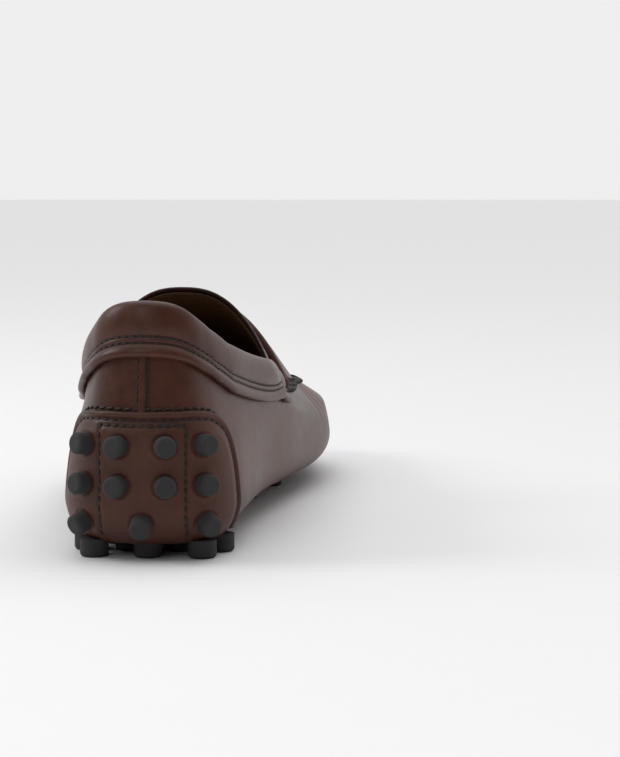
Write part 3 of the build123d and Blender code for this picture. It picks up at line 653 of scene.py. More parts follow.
def lining_leather():
    c = colours()
    return leather("tan_lining", c.lining_dark, c.lining_light, 0.62, grain=1300, wrinkle=0.5, bump=0.10,
                   edge=(0.02, 0.01, 0.006))


def thread_material():
    c = colours()
    return plain("waxed_thread", c.thread_dark, c.thread_light, 0.55, bump=0.3, scale=3000)


def rubber():
    c = colours()
    return plain("stud_rubber", c.rubber_dark, c.rubber_light, 0.6, bump=0.12)


def foam():
    return plain("foam", (0.3, 0.26, 0.2), (0.4, 0.36, 0.3), 0.9)


def sewn(name, line, normals, pitch, length, radius, on="rearfoot", **way):
    """A finished row of thread: on is the body it rides, or "flex" where it crosses the bend."""
    row = finish_of(stitches(name, line, normals, pitch, length, radius, **way), thread_material())
    if on == "flex":
        flex(row)
    else:
        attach(row, on)
    return row


def finished(obj, material, nodes, on="rearfoot"):
    """Gives a piece its material, slot, body and the nodes it is shown for."""
    finish_of(obj, material)
    if on == "flex":
        flex(obj)
    else:
        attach(obj, on)
    stands_for(obj, *nodes)
    return obj


# ---- pieces --------------------------------------------------------------------------------------
def flex(obj):
    """Bakes a piece's transform into its mesh, for a piece that crosses the bend of the foot."""
    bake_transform(obj)


def around(count, start=0.0, end=None):
    """Column parameters round the foot."""
    if end is None:
        return np.arange(count) * TURN / count
    return np.linspace(start, end, count)


def make_wrap():
    """The leather wrap: underside, walls, and up to the apron seam."""
    count, rows = 260, 44
    ts = around(count)
    bottom = profile_edges(ts)
    spine = (bottom + bottom[(-np.arange(count)) % count]) / 2
    spine[:, 1] = 24 + spine[:, 1] * 0.83
    steps = np.linspace(1, 0, 8)[1:]
    under = np.array([[edge * f + mid * (1 - f) for f in steps] for edge, mid in zip(bottom, spine)])
    totals = np.array([along(profile(t))[-1] for t in ts])
    shares = np.concatenate([[0, 0.6, 1.3, 2.1, 3.0, 4.2], np.linspace(6, 100, rows - 6)])
    below = totals[:, None] * (shares[None] - 6) / 94 + np.clip((100 - shares[None]) / 94, 0, 1) * 5.5
    downs = np.where(shares[None] < 5, shares[None], below)
    side = skin(ts, downs)
    normal = outward(side, closed=True)
    front = np.array([1.0 if FRONT_FROM + 0.25 < t < FRONT_TO - 0.25 else 0.0 for t in ts])
    for _ in range(3):
        front = (np.roll(front, 1) + 2 * front + np.roll(front, -1)) / 4
    ridge, gather = 1000 * sizes().seam_ridge, 1000 * sizes().pleat_depth
    lip = np.exp(-((downs - 1.9) / 1.25) ** 2) * ridge - np.exp(-(downs / 0.7) ** 2) * 0.9
    phase = np.interp(ts, _run_t, _run_d) / 5.6 * 2 * math.pi
    toe = np.clip((side[:, :, 1] - 196) / 40, 0, 1)
    pleat = np.cos(phase)[:, None] * np.exp(-((downs - 4.0) / 4.5) ** 2) * gather * toe
    crease = 0.0
    for y0, tilt, size in ((176, 0.12, 0.35), (187, 0.05, 0.5), (199, -0.04, 0.4)):
        dist = side[:, :, 1] - y0 - tilt * np.abs(side[:, :, 0]) + 1.2 * np.sin(side[:, :, 2] / 6.0 + y0)
        crease = crease - size * np.exp(-(dist / 2.6) ** 2) * np.clip((side[:, :, 2] - 18) / 16, 0, 1)
    side = side + normal * (front[:, None] * (lip + pleat) + crease)[..., None]
    grid = np.concatenate([side, under], axis=1)
    obj = cut_leather("leather_wrap", grid, thickness=1.5, closed=True, smooth=1, merge=0.3)
    # darker along the wrap's edge at the apron seam: its dyed cut edge, and painted shade in the seam's
    # crevice where the edge tucks in
    seam = skin(around(500, FRONT_FROM, FRONT_TO), [0.2])[:, 0]
    edge_shade(obj, lambda p: 0.85 * np.exp(-(nearest(p, seam) / 1.0) ** 2))
    finished(obj, upper_leather(), ("wrap_rear", "wrap_front", "wrap_crease"), "flex")


def profile_edges(ts):
    """Points of the underside's edge."""
    return np.array([profile(t)[0] for t in ts])


def apron_grid(across, rows, off=0.0, spread=0.0):
    """Grid over the crown between the two sides of the apron seam."""
    half = _seam_d[-1] / 2
    shares = np.linspace(0, 1, rows) ** 0.9
    grid = []
    for share in shares:
        right = open_curve(SEAM, np.interp(share * half, _seam_d, _seam_t))
        left = open_curve(SEAM, np.interp(_seam_d[-1] - share * half, _seam_d, _seam_t))
        mid = (right + left) / 2
        right, left = mid + (right - mid) * (1 + spread), mid + (left - mid) * (1 + spread)
        f = (1 - np.cos(np.linspace(0, math.pi, across))) / 2 * 0.35 + np.linspace(0, 1, across) * 0.65
        plan = right + (left - right) * f[:, None]
        bow = np.sin(f * math.pi) * 6.0 * share
        plan = plan + np.stack([np.zeros_like(bow), bow * np.clip(1 - share, 0, 1)], -1)
        z = crown(plan[:, 0], plan[:, 1], off)
        back = np.clip(1 - share / 0.25, 0, 1)
        plan[:, 1] += np.clip(z - 66, 0, 40) * 0.047 * back
        grid.append(np.c_[plan, crown(plan[:, 0], plan[:, 1], off)])
    return np.array(grid).transpose(1, 0, 2)


def make_apron():
    """Apron with its tongue."""
    grid = apron_grid(56, 96)
    normal = outward(grid, flip=True)
    if normal[28, 10, 2] < 0:
        normal = -normal
    border = np.concatenate([grid[0], grid[-1][::-1]])
    away = nearest(grid.reshape(-1, 3), even(border, 900)).reshape(grid.shape[:2])
    tongue = grid[:, :, 1] - grid[:, :1, 1]
    drop = -0.75 * np.exp(-(away / 1.1) ** 2) + 0.35 * (1 - np.exp(-(away / 7.0) ** 2))
    lip = 0.35 * np.exp(-((tongue - 1.3) / 1.0) ** 2) - 0.28 * np.exp(-((tongue - 3.6) / 0.7) ** 2)
    crease = 0.0
    for y0, size in ((178, 0.3), (189, 0.45), (201, 0.35)):
        dist = grid[:, :, 1] - y0 + 1.6 * np.sin(grid[:, :, 0] / 9.0 + y0)
        crease = crease - size * np.exp(-(dist / 2.8) ** 2)
    grid = grid + normal * (drop + lip + crease)[..., None]
    obj = cut_leather("apron_and_tongue", grid, thickness=1.5, smooth=1, merge=0.2)
    # darker at the tongue's rim, its dyed cut edge, and along the seam, painted shade where the apron's edge
    # sinks under the wrap's ridge
    rim = even(grid[:, 0], 300)
    seam = even(border, 900)
    edge_shade(obj, lambda p: np.exp(-(nearest(p, rim) / 1.3) ** 2) + 0.8 * np.exp(-nearest(p, seam) ** 2))
    finished(obj, upper_leather(), ("apron_rear", "apron_front", "apron_crease"), "flex")


def make_lining():
    """Quarter and vamp lining, one shell from the opening down to the sock, and the tongue's lining."""
    ts = around(200)
    totals = np.array([along(profile(t, 3.0))[-1] for t in ts])
    downs = totals[:, None] * np.linspace(0.006, 0.93, 34)[None]
    grid = skin(ts, downs, 3.0)
    obj = cut_leather("foot_lining", grid, thickness=0.8, closed=True, smooth=1, merge=0.05)
    edge_shade(obj, lambda p: 0.0 * p[:, 0])
    inside = ("quarter_lining", "vamp_lining_rear", "vamp_lining_front", "vamp_lining_crease", "collar_foam",
              "heel_counter")
    finished(obj, lining_leather(), inside, "flex")
    grid = apron_grid(44, 60, 1.65, spread=0.03)
    grid[:, 0, 1] += 0.3
    inner = cut_leather("tongue_lining", grid, thickness=1.0, smooth=1, merge=0.2)
    rim = even(grid[:, 0], 300)
    edge_shade(inner, lambda p: np.exp(-(nearest(p, rim) / 1.0) ** 2))
    finished(inner, lining_leather(), (), "flex")


def band_frame(ts):
    """Points and normals of the collar band's bed at each of ts, every 0.5 mm down from the opening."""
    downs = np.arange(0.0, 24.01, 0.5)
    bed = skin(ts, downs)
    return downs, bed, outward(bed)


def band_height_at(t):
    y = round_curve(OUTLINE, t)[..., 1]
    return 18.5 + (14.5 - 18.5) * np.clip(y / BAND_FRONT_Y, 0, 1)


BAND_FROM, BAND_TO = column_at(BAND_FRONT_Y - 1.0, -1), column_at(BAND_FRONT_Y - 1.0, 1) + TURN


def make_collar():
    """Collar band: padded leather folded over the opening, two stitch rows, and a rolled lower edge."""
    ts = around(300, BAND_FROM, BAND_TO)
    downs, bed, normal = band_frame(ts)
    heights = band_height_at(ts)
    # share of the band's height (or mm past it) and how far the leather stands off the wrap, from the inside
    # of the opening over its edge and down
    rows = []
    for h, line, out in zip(heights, bed, normal):
        def at(down, lift):
            p = np.array([np.interp(down, downs, line[:, k]) for k in range(3)])
            n = np.array([np.interp(down, downs, out[:, k]) for k in range(3)])
            return p + n / np.linalg.norm(n) * lift
        s = h / 18.5
        stops = [
            (5.0, -4.55), (3.0, -4.6), (1.2, -4.4), (0.1, -3.7), (-0.9, -2.4), (-1.3, -1.0), (-0.9, 0.4),
            (0.0, 1.35), (1.2, 1.95), (2.8, 2.3), (4.6 * s, 2.45), (6.6 * s, 2.45), (8.4 * s, 2.3),
            (9.7 * s, 2.05), (10.5 * s, 1.8), (11.0 * s, 1.45), (11.3 * s, 1.05), (11.6 * s, 1.45),
            (12.1 * s, 1.75), (12.7 * s, 1.75), (13.2 * s, 1.45), (13.5 * s, 1.05), (13.8 * s, 1.45),
            (14.3 * s, 1.8), (15.0 * s, 2.2), (15.9 * s, 2.6), (16.9 * s, 2.75), (17.8 * s, 2.5),
            (18.35 * s, 1.9), (18.5 * s, 1.1), (18.3 * s, 0.4), (17.6 * s, 0.12), (15.5 * s, 0.1),
        ]
        up = np.array([0, 0, 1.0])
        row = []
        for down, lift in stops:
            if down < 0:
                row.append(at(0.0, lift) + up * (-down) * 0.75)
            else:
                row.append(at(down, lift))
        rows.append(row)
    grid = np.array(rows)
    ends = np.minimum(np.arange(len(ts)), np.arange(len(ts))[::-1])
    squeeze = np.clip(ends / 3.0, 0, 1) ** 0.5
    squeeze[ends == 0] = 0.25
    for k in np.nonzero(ends < 3)[0]:
        places = np.linspace(0.5, heights[k] - 1, grid.shape[1])
        base = np.stack([np.interp(places, downs, bed[k][:, axis]) for axis in range(3)], -1)
        grid[k] = base + (grid[k] - base) * squeeze[k]
    obj = cut_leather("collar_band_leather", grid, thickness=0.0, smooth=1, merge=0.01)
    close_ends(obj)
    # painted shadow under the rolled lower edge and painted shade in the two stitch grooves
    low = even(grid[:, 30], 900)
    grooves = [even(grid[:, 16], 900), even(grid[:, 21], 900)]
    edge_shade(obj, lambda p: 0.9 * np.exp(-(nearest(p, low) / 0.8) ** 2)
               + 0.75 * sum(np.exp(-(nearest(p, groove) / 0.45) ** 2) for groove in grooves))
    finished(obj, upper_leather(), ("collar_band", "collar_band_core"))
    size = sizes()
    pitch, length, radius = (1000 * v for v in (size.fine_pitch, size.fine_length, size.fine_radius))
    for name, k in (("collar_thread_upper", 16), ("collar_thread_lower", 21)):
        row = sewn(name, grid[4:-4, k], normal[4:-4, 22], pitch, length, radius, sink=-0.3)
        if k == 16:
            stands_for(row, "collar_thread")


def close_ends(obj):
    """Fills the open ends of a folded piece and makes its normals agree."""
    activate(obj)
    bpy.ops.object.mode_set(mode="EDIT")
    bpy.ops.mesh.select_all(action="SELECT")
    bpy.ops.mesh.remove_doubles(threshold=0.00001)
    bpy.ops.mesh.select_all(action="DESELECT")
    bpy.ops.mesh.select_non_manifold()
    bpy.ops.mesh.edge_face_add()
    bpy.ops.mesh.select_all(action="SELECT")
    bpy.ops.mesh.normals_make_consistent(inside=False)
    bpy.ops.object.mode_set(mode="OBJECT")


def underside(plan, off):
    """Points of the rolled underside above plan points, from how far each lies inside the outline."""
    ring = round_curve(OUTLINE, np.linspace(0, TURN, 2400, endpoint=False))
    flat = plan.reshape(-1, 2)
    out = np.empty((len(flat), 2))
    for k in range(0, len(flat), 2000):
        gaps = np.linalg.norm(flat[k:k + 2000, None] - ring[None, :, :2], axis=-1)
        best = gaps.argmin(1)
        out[k:k + 2000] = np.c_[gaps[np.arange(len(best)), best], ring[best, 2]]
    share = np.clip((out[:, 0] - off) / (out[:, 1] - off), 0, 1)
    z = SOLE_Z + off + (ROLL_HEIGHT - off) * (1 - np.sqrt(np.clip(1 - (1 - share) ** 2, 0, 1)))
    return np.c_[flat, z].reshape(*plan.shape[:-1], 3)


def border_of(grid, normal):
    """Closed line round a grid, with its normals."""
    def ring(a):
        return np.concatenate([a[0, ::-1], a[1:, 0], a[-1, 1:], a[-2:0:-1, -1]])
    line, out = ring(grid), ring(normal)
    step = np.linalg.norm(np.diff(line, axis=0), axis=1)
    keep = np.concatenate([[True], step > 1e-4])
    return line[keep], out[keep]


def inset_line(line, normal, distance):
    """A border line moved sideways in the surface, towards the inside of the border."""
    ahead = np.roll(line, -3, 0) - np.roll(line, 3, 0)
    side = np.cross(normal, ahead)
    side /= np.maximum(np.linalg.norm(side, axis=1, keepdims=True), 1e-9)
    inside = line.mean(0) - line
    sign = np.sign((side * inside).sum(1).mean())
    moved = line + sign * side * distance
    for _ in range(8):
        moved = (np.roll(moved, -1, 0) + 2 * moved + np.roll(moved, 1, 0)) / 4
    return moved


def lay_on(line, grid):
    """The line dropped onto the nearest points of a displaced grid, then smoothed."""
    cloud = grid.reshape(-1, 3)
    out = np.empty_like(line)
    for k in range(0, len(line), 500):
        part = line[k:k + 500]
        gaps = ((part[:, None] - cloud[None]) ** 2).sum(-1)
        near = np.argpartition(gaps, 6, axis=1)[:, :6]
        weight = 1 / (np.take_along_axis(gaps, near, 1) + 0.05)
        out[k:k + 500] = (cloud[near] * weight[..., None]).sum(1) / weight.sum(1)[:, None]
    return out


def ridge_lift(away, low, high, reach, piped=True):
    """How far a padded leather stands up at a distance from its border: piping, stitch groove, body."""
    body = low + (high - low) * np.clip((away - 2.4) / reach, 0, 1) ** 0.7
    pipe = 1.15 * np.sqrt(np.clip(1 - ((away - 1.15) / 1.25) ** 2, 0, 1)) if piped else 0.0
    groove = 0.42 * np.exp(-((away - 2.95) / 0.42) ** 2)
    return np.where(away < 0.02, 0.05, body + pipe - groove)


def make_heel_pad():
    """Heel pad: piped border between two stitch rows, stitched panel, and its tongue under the heel."""
    across, wall_rows, under_rows = 151, 70, 46
    reach = column_at(HEEL_PAD_SIDE_Y, 1)
    fine = open_curve(HEEL_PAD_EDGE, np.linspace(0, len(HEEL_PAD_EDGE) - 1, 300))
    run = along(np.c_[fine[:, 0] * 41, fine[:, 1], np.zeros(300)])
    grid = []
    for c in np.linspace(-1, 1, across):
        share, top = (np.interp(abs(c) * run[-1], run, fine[:, k]) for k in (0, 1))
        z = np.linspace(top, 12.5, wall_rows)
        blend = np.clip((top - z) / (top - 12.5), 0, 1) ** 0.8
        t = math.copysign(1, c) * reach * (share + (abs(c) - share) * blend)
        down = wall(t, z, 0.0)
        end = open_curve(HEEL_PAD_FRONT, (c + 1) / 2 * (len(HEEL_PAD_FRONT) - 1))
        s = np.linspace(0, 1, under_rows)[1:, None] ** 1.5
        below = underside(down[-1, :2] + (end - down[-1, :2]) * s, 0.0)
        grid.append(np.vstack([down, below]))
    grid = np.array(grid)
    for _ in range(2):
        grid[:, 1:-1] = (grid[:, :-2] + 2 * grid[:, 1:-1] + grid[:, 2:]) / 4
    normal = outward(grid)
    border, border_normal = border_of(grid, normal)
    away = nearest(grid.reshape(-1, 3), even(border, 1600)).reshape(grid.shape[:2])
    lift = ridge_lift(away, 1.0, 2.35, 5.0)
    panel = panel_line(0.0)
    lift = lift - 0.4 * np.exp(-(nearest(grid.reshape(-1, 3), panel).reshape(away.shape) / 0.55) ** 2)
    for centre, radius in stud_spots():
        ring = np.linalg.norm(grid - centre, axis=-1) - radius
        lift = lift + 0.16 * np.exp(-((ring - 0.9) / 0.7) ** 2) - 0.22 * np.exp(-((ring + 0.1) / 0.5) ** 2)
    raised = grid + normal * lift[..., None]
    obj = cut_leather("heel_pad_leather", raised, thickness=1.0, smooth=1, merge=0.01)
    inner = lay_on(inset_line(even(border, 1200), even_like(border, border_normal, 1200), 2.95), raised)
    outer_line = even(border, 1600)
    panel_on = lay_on(panel, raised)
    inner_line = even(inner, 1200)
    # darker along the outer border, its dyed cut edge with painted shade where it meets the wrap, and
    # painted shade in the stitch groove and the panel's groove
    edge_shade(obj, lambda p: 0.8 * np.exp(-(nearest(p, outer_line) / 0.55) ** 2)
               + 0.6 * np.exp(-(nearest(p, inner_line) / 0.5) ** 2)
               + 0.45 * np.exp(-(nearest(p, panel_on) / 0.6) ** 2))
    finished(obj, pad_leather(), ("heel_pad",))
    out = even_like(border, border_normal, 1200)
    size = sizes()
    pitch, length, radius = (1000 * v for v in (size.heavy_pitch, size.heavy_length, size.heavy_radius))
    outer = inset_line(even(border, 1200), out, -0.75)
    spots = ((panel[:, None] - grid.reshape(-1, 3)[None]) ** 2).sum(-1).argmin(1)
    panel_normal = outward(grid).reshape(-1, 3)[spots]
    sewn("heel_pad_thread_inner", inner, out, pitch, length, radius, sink=-0.12, slant=8)
    sewn("heel_pad_thread_outer", outer, out, pitch, length, radius, sink=-0.3, slant=8)
    row = sewn("heel_panel_thread", panel_on, panel_normal, pitch * 0.91, length * 0.9, radius, sink=-0.12,
               slant=8)
    stands_for(row, "heel_pad_thread")


def even_like(line, values, count):
    """Values given along a line, at count even places."""
    return resample_like(line, values, np.linspace(0, along(line)[-1], count))


def round_heel(distance, z, off=0.0):
    """OUTLINE parameters a distance round the heel from its middle."""
    ts = np.linspace(0, 4, 500)
    run = along(wall(ts, np.full(500, float(z)), off))
    return np.sign(distance) * np.interp(abs(distance), run, ts)


def panel_line(off):
    """Line of the stitched panel: up one side, across and down the other."""
    up = np.linspace(9.5, PANEL_TOP, 80)
    left = [wall(round_heel(-PANEL_HALF, z, off), z, off) for z in up]
    across = np.linspace(-PANEL_HALF, PANEL_HALF, 60)[1:-1]
    top = [wall(round_heel(distance, PANEL_TOP, off), PANEL_TOP, off) for distance in across]
    right = [wall(round_heel(PANEL_HALF, z, off), z, off) for z in up[::-1]]
    return np.array(left + top + right)


def stud_spots():
    """Where the studs pass through the heel pad, with their radii."""
    spots = []
    for z, distances in BACK_STUDS:
        spots += [(wall(round_heel(d, z, -2.6), z, 0.0), SMALL_STUD) for d in distances]
    for y, xs in HEEL_STUDS:
        spots += [(np.array([x, y, SOLE_Z]), GROUND_STUD) for x in xs]
    return spots


def make_back_strip():
    """Strip over the back seam, a straight row on one edge and a zigzag on the other."""
    heights = np.linspace(50.0, 69.2, 40)
    xs = np.array([-1.75, -1.6, -1.2, -0.6, 0.0, 0.6, 1.2, 1.6, 1.75])
    lifts = np.array([-0.1, 0.45, 0.72, 0.8, 0.82, 0.8, 0.72, 0.45, -0.1])
    grid = np.array([[wall(x / 15.6, z, -lift) for z in heights[::-1]] for x, lift in zip(xs, lifts)])
    obj = cut_leather("back_seam_strip", grid, thickness=0.5, smooth=1, merge=0.005)
    rims = np.concatenate([grid[1], grid[-2]])
    edge_shade(obj, lambda p: 0.8 * np.exp(-(nearest(p, rims) / 0.35) ** 2))
    finished(obj, upper_leather(), ("back_strip",))
    up = heights[1:-2][::-1]
    out = np.tile([0.0, -1.0, 0.08], (len(up), 1))
    left = np.array([wall(-1.75 / 15.6, z, -0.5) for z in up])
    right = np.array([wall(1.9 / 15.6, z, -0.5) for z in up])
    sewn("back_strip_thread", left, out, 2.4, 1.6, 0.28)
    sewn("back_strip_zigzag", right, out, 1.5, 1.9, 0.28, slant=34)


def crown_normal(points):
    """Outward directions on the crown."""
    x, y = points[..., 0], points[..., 1]
    slopes = crown(x - 0.5, y) - crown(x + 0.5, y), crown(x, y - 0.5) - crown(x, y + 0.5)
    out = np.stack([*slopes, np.ones_like(x)], -1)
    return out / np.linalg.norm(out, axis=-1, keepdims=True)


def make_strap():
    """Saddle strap over the instep, with a stitched row near each edge."""
    edge = np.array([0.0, 0.2, 0.6, 1.3, 2.1, 2.5, 2.9, 3.7])
    ys = np.concatenate([STRAP_BACK + edge, np.linspace(127.5, 147.5, 18), STRAP_FRONT - edge[::-1]])
    near = np.minimum(ys - STRAP_BACK, STRAP_FRONT - ys)
    lift = 1.75 * np.clip(near / 0.6, 0, 1) ** 0.5 + 0.35 * np.clip(near / 9, 0, 1)
    lift = lift - 0.38 * np.exp(-((near - 2.5) / 0.45) ** 2)
    shares = np.linspace(0, 1, 64)
    grid = []
    for share in shares:
        x = 34.2 + (-40.5 - 34.2) * share
        line = np.c_[np.full(len(ys), x) + 0.02 * (ys - 137) * (1 if x > 0 else -1), ys, np.zeros(len(ys))]
        line[:, 2] = crown(line[:, 0], line[:, 1])
        grid.append(line)
    grid = np.array(grid)
    grid = grid + crown_normal(grid) * lift[None, :, None]
    obj = cut_leather("saddle_strap_leather", grid[::-1], thickness=1.2, smooth=1, merge=0.005)
    facing(obj)
    rims = np.concatenate([even(grid[:, 1], 300), even(grid[:, -2], 300)])
    edge_shade(obj, lambda p: 0.85 * np.exp(-(nearest(p, rims) / 0.6) ** 2))
    finished(obj, upper_leather(), ("saddle_strap",))
    for name, k in (("strap_thread_back", 5), ("strap_thread_front", len(ys) - 6)):
        line = even(grid[2:-2, k], 300)
        sewn(name, line, crown_normal(line), 2.75, 1.9, 0.34, sink=-0.25)


def make_rolls():
    """Rolled strap ends, whipped with thread over the apron seam."""
    for node, side in (("strap_roll_inner", 1), ("strap_roll_outer", -1)):
        ys = np.linspace(120.2, 154.8, 90)
        xs = np.full(len(ys), -3 + side * 37.2)
        core = np.c_[xs, ys, crown(xs, ys) + 0.3]
        end = np.minimum(ys - 120.2, 154.8 - ys)
        radius = 3.3 * np.sqrt(np.clip(1 - (1 - np.clip(end / 3.4, 0, 1)) ** 2, 0, 1))
        radius = radius * (1 - 0.085 * np.cos((ys - 137.5) / 4.6 * 2 * math.pi) ** 8) + 1e-4
        lean = crown_normal(core)
        ahead = np.gradient(core, axis=0)
        ahead /= np.linalg.norm(ahead, axis=1, keepdims=True)
        across = np.cross(ahead, lean)
        across /= np.linalg.norm(across, axis=1, keepdims=True)
        angles = np.linspace(0, 2 * math.pi, 28, endpoint=False)
        rings = [across * math.cos(a) * 1.12 + lean * math.sin(a) * 0.95 for a in angles]
        grid = np.array([core + ring * radius[:, None] for ring in rings])
        obj = cut_leather(f"{node}_leather", grid, closed=True, smooth=1, merge=0.02)
        facing(obj)
        # painted shade in the pinches of the roll, under and between the whipping
        edge_shade(obj, lambda p: 0.35 * np.cos((p[:, 1] - 137.5) / 4.6 * 2 * math.pi) ** 8)
        finished(obj, upper_leather(), (node,))
        wraps = []
        for y in 137.5 + 2.3 * np.arange(-6, 7, 2):
            k = int(np.abs(ys - y).argmin())
            turns = np.linspace(-0.5, math.pi + 0.5, 40)
            way = [across[k] * math.cos(a) * 1.12 + lean[k] * math.sin(a) * 0.95 for a in turns]
            loop = core[k] + np.array(way) * (radius[k] + 0.12)
            outs = loop - core[k]
            outs /= np.linalg.norm(outs, axis=1, keepdims=True)
            wraps.append(stitches("wrap", loop, outs, 1.6, 2.0, 0.42))
        row = weld(f"{node}_whipping", wraps)
        finish_of(row, thread_material())
        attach(row, "rearfoot")


def make_seam_threads():
    """Hand-sewn stitches over the apron's raised seam, and the row along the tongue's edge."""
    ts = around(900, FRONT_FROM + 0.1, FRONT_TO - 0.1)
    line = skin(ts, [1.7])[:, 0]
    near = skin(ts, [0.7, 1.7, 2.7])
    out = outward(near)[:, 1]
    row = sewn("apron_thread", line + out * 1.35, out, 4.2, 3.5, 0.42, on="flex", slant=62)
    stands_for(row, "apron_thread_rear", "apron_thread_front")
    grid = apron_grid(56, 96)
    rim = grid[3:-3, 0].copy()
    rim[:, 1] += 3.6
    rim[:, 2] = crown(rim[:, 0], rim[:, 1])
    rim = even(rim, 400)
    sewn("tongue_thread", rim, crown_normal(rim), 2.75, 1.9, 0.32, sink=-0.3)


def make_sock():
    """Leather sock over the foam insole."""
    ts = around(160)
    rim = wall(ts, np.full(160, 15.6), 4.0)
    spine = (rim + rim[(-np.arange(160)) % 160]) / 2
    spine[:, 1] = 24 + spine[:, 1] * 0.83
    shares = np.concatenate([[0, 0.015, 0.04], np.linspace(0.09, 1, 14)])
    grid = rim[:, None] * (1 - shares[None, :, None]) + spine[:, None] * shares[None, :, None]
    grid[:, :, 2] = 15.5 + 1.5 * (1 - shares[None]) ** 6
    obj = cut_leather("sock_leather", grid, thickness=1.0, closed=True, smooth=1, merge=0.4)
    facing(obj)
    edge_shade(obj, lambda p: 0.0 * p[:, 0])
    finished(obj, lining_leather(), ("sock_rear", "sock_front"), "flex")


def make_fore_pad():
    """Leather pad under the ball, piped at its border."""
    ts = np.arange(220) * len(FORE_PAD) / 220
    rim = round_curve(FORE_PAD, ts)
    spine = np.c_[np.interp(rim[:, 1], [120, 257], [-2.0, -1.0]), 138 + (rim[:, 1] - 120) * 0.74]
    edge = [0, 0.012, 0.03, 0.05, 0.07, 0.09, 0.11, 0.13, 0.16, 0.2]
    shares = np.concatenate([edge, np.linspace(0.27, 1, 12)])
    plan = rim[:, None] * (1 - shares[None, :, None]) + spine[:, None] * shares[None, :, None]
    edge_line = round_curve(FORE_PAD, np.linspace(0, len(FORE_PAD), 1500))
    away = nearest(plan.reshape(-1, 2), edge_line).reshape(plan.shape[:2])
    grid = np.concatenate([plan, (SOLE_Z - ridge_lift(away, 1.2, 2.45, 4.0))[..., None]], -1)
    obj = cut_leather("fore_pad_leather", grid, thickness=1.0, closed=True, smooth=1, merge=0.3)
    facing(obj)
    # darker along the pad's border: its dyed cut edge, with painted shade where it meets the wrap
    edge_shade(obj, lambda p: 0.5 * np.exp(-(np.abs(p[:, 2] - SOLE_Z)) ** 2))
    finished(obj, pad_leather(), ("fore_pad_rear", "fore_pad_front"), "flex")
    centre = plan.mean((0, 1))
    ahead = np.roll(rim, -1, 0) - np.roll(rim, 1, 0)
    side = np.stack([ahead[:, 1], -ahead[:, 0]], -1)
    side /= np.linalg.norm(side, axis=1, keepdims=True)
    side *= np.sign(((rim - centre) * side).sum(1).mean())
    inset = rim - side * 2.95
    line = np.c_[np.r_[inset, inset[:1]], np.full(221, SOLE_Z - 0.85)]
    below = np.tile([0, 0, -1.0], (900, 1))
    sewn("fore_pad_thread", even(line, 900), below, 3.4, 2.2, 0.42, on="flex", sink=-0.1)


# ---- stage ---------------------------------------------------------------------------------------
def make_stage():
    """Pale floor that runs out to the sky, a soft light from above and the camera."""
    deselect()
    bpy.ops.mesh.primitive_plane_add(size=1)
    floor = bpy.context.object
    floor.name = floor.data.name = "studio_floor"
    bpy.ops.object.mode_set(mode="EDIT")
    bpy.ops.mesh.select_all(action="SELECT")
    bpy.ops.transform.resize(value=(80, 80, 1))
    bpy.ops.object.mode_set(mode="OBJECT")
    material = bpy.data.materials.new("pale_floor")
    material.use_nodes = True
    nodes, links = material.node_tree.nodes, material.node_tree.links
    shader = nodes["Principled BSDF"]
    speck = add(nodes, "ShaderNodeTexNoise")
    speck.inputs["Scale"].default_value = 40
    tone = add(nodes, "ShaderNodeMapRange")
    tone.inputs["To Min"].default_value = colours().floor_tone - 0.005
    tone.inputs["To Max"].default_value = colours().floor_tone + 0.005
    links.new(add(nodes, "ShaderNodeTexCoord").outputs["Object"], speck.inputs["Vector"])
    links.new(speck.outputs["Fac"], tone.inputs["Value"])
    links.new(tone.outputs["Result"], shader.inputs["Base Color"])
    shader.inputs["Roughness"].default_value = 1.0
    shader.inputs["Specular IOR Level"].default_value = 0.0
    finish_of(floor, material)

    world = bpy.data.worlds.new("studio")
    bpy.context.scene.world = world
    world.use_nodes = True
    nodes, links = world.node_tree.nodes, world.node_tree.links
    split = add(nodes, "ShaderNodeSeparateXYZ")
    links.new(add(nodes, "ShaderNodeTexCoord").outputs["Generated"], split.inputs[0])
    front = add(nodes, "ShaderNodeMapRange", interpolation_type="SMOOTHSTEP")
    front.inputs["From Min"].default_value, front.inputs["From Max"].default_value = -0.6, 0.5
    front.inputs["To Min"].default_value, front.inputs["To Max"].default_value = 0.10, 0.86
    links.new(split.outputs["Y"], front.inputs["Value"])
    links.new(front.outputs["Result"], nodes["Background"].inputs["Color"])
    bpy.context.scene.view_settings.view_transform = "Standard"
    lights = (
        ("overhead", "SUN", (0.0, 0.3, 2.0), math.radians(70), 1.35),
        ("left_strip", "AREA", (-1.1, -0.2, 0.75), 0.5, 5.0),
        ("heel_fill", "AREA", (-0.35, -1.6, 1.1), 0.8, 4.0),
    )
    for name, kind, place, size, power in lights:
        bpy.ops.object.light_add(type=kind, location=place)
        light = bpy.context.object
        light.name = name
        light.data.energy = power
        if kind == "SUN":
            light.data.angle = size
        else:
            light.data.size = size
        light.rotation_euler = (Vector((0, 0, 0.04)) - Vector(place)).to_track_quat("-Z", "Y").to_euler()

    camera_data = bpy.data.cameras.new("view")
    camera = bpy.data.objects.new("view", camera_data)
    bpy.context.collection.objects.link(camera)
    camera_data.lens = 93.8
    camera_data.sensor_width = 36.0
    camera_data.clip_start, camera_data.clip_end = 0.01, 100
    camera.location = (0.1162, -0.7796, 0.1226)
    toe_in, pitch = math.radians(5.0), math.radians(5.35)
    ahead = (-math.sin(toe_in) * math.cos(pitch), math.cos(toe_in) * math.cos(pitch), -math.sin(pitch))
    camera.rotation_euler = Vector(ahead).to_track_quat("-Z", "Y").to_euler()
    bpy.context.scene.camera = camera


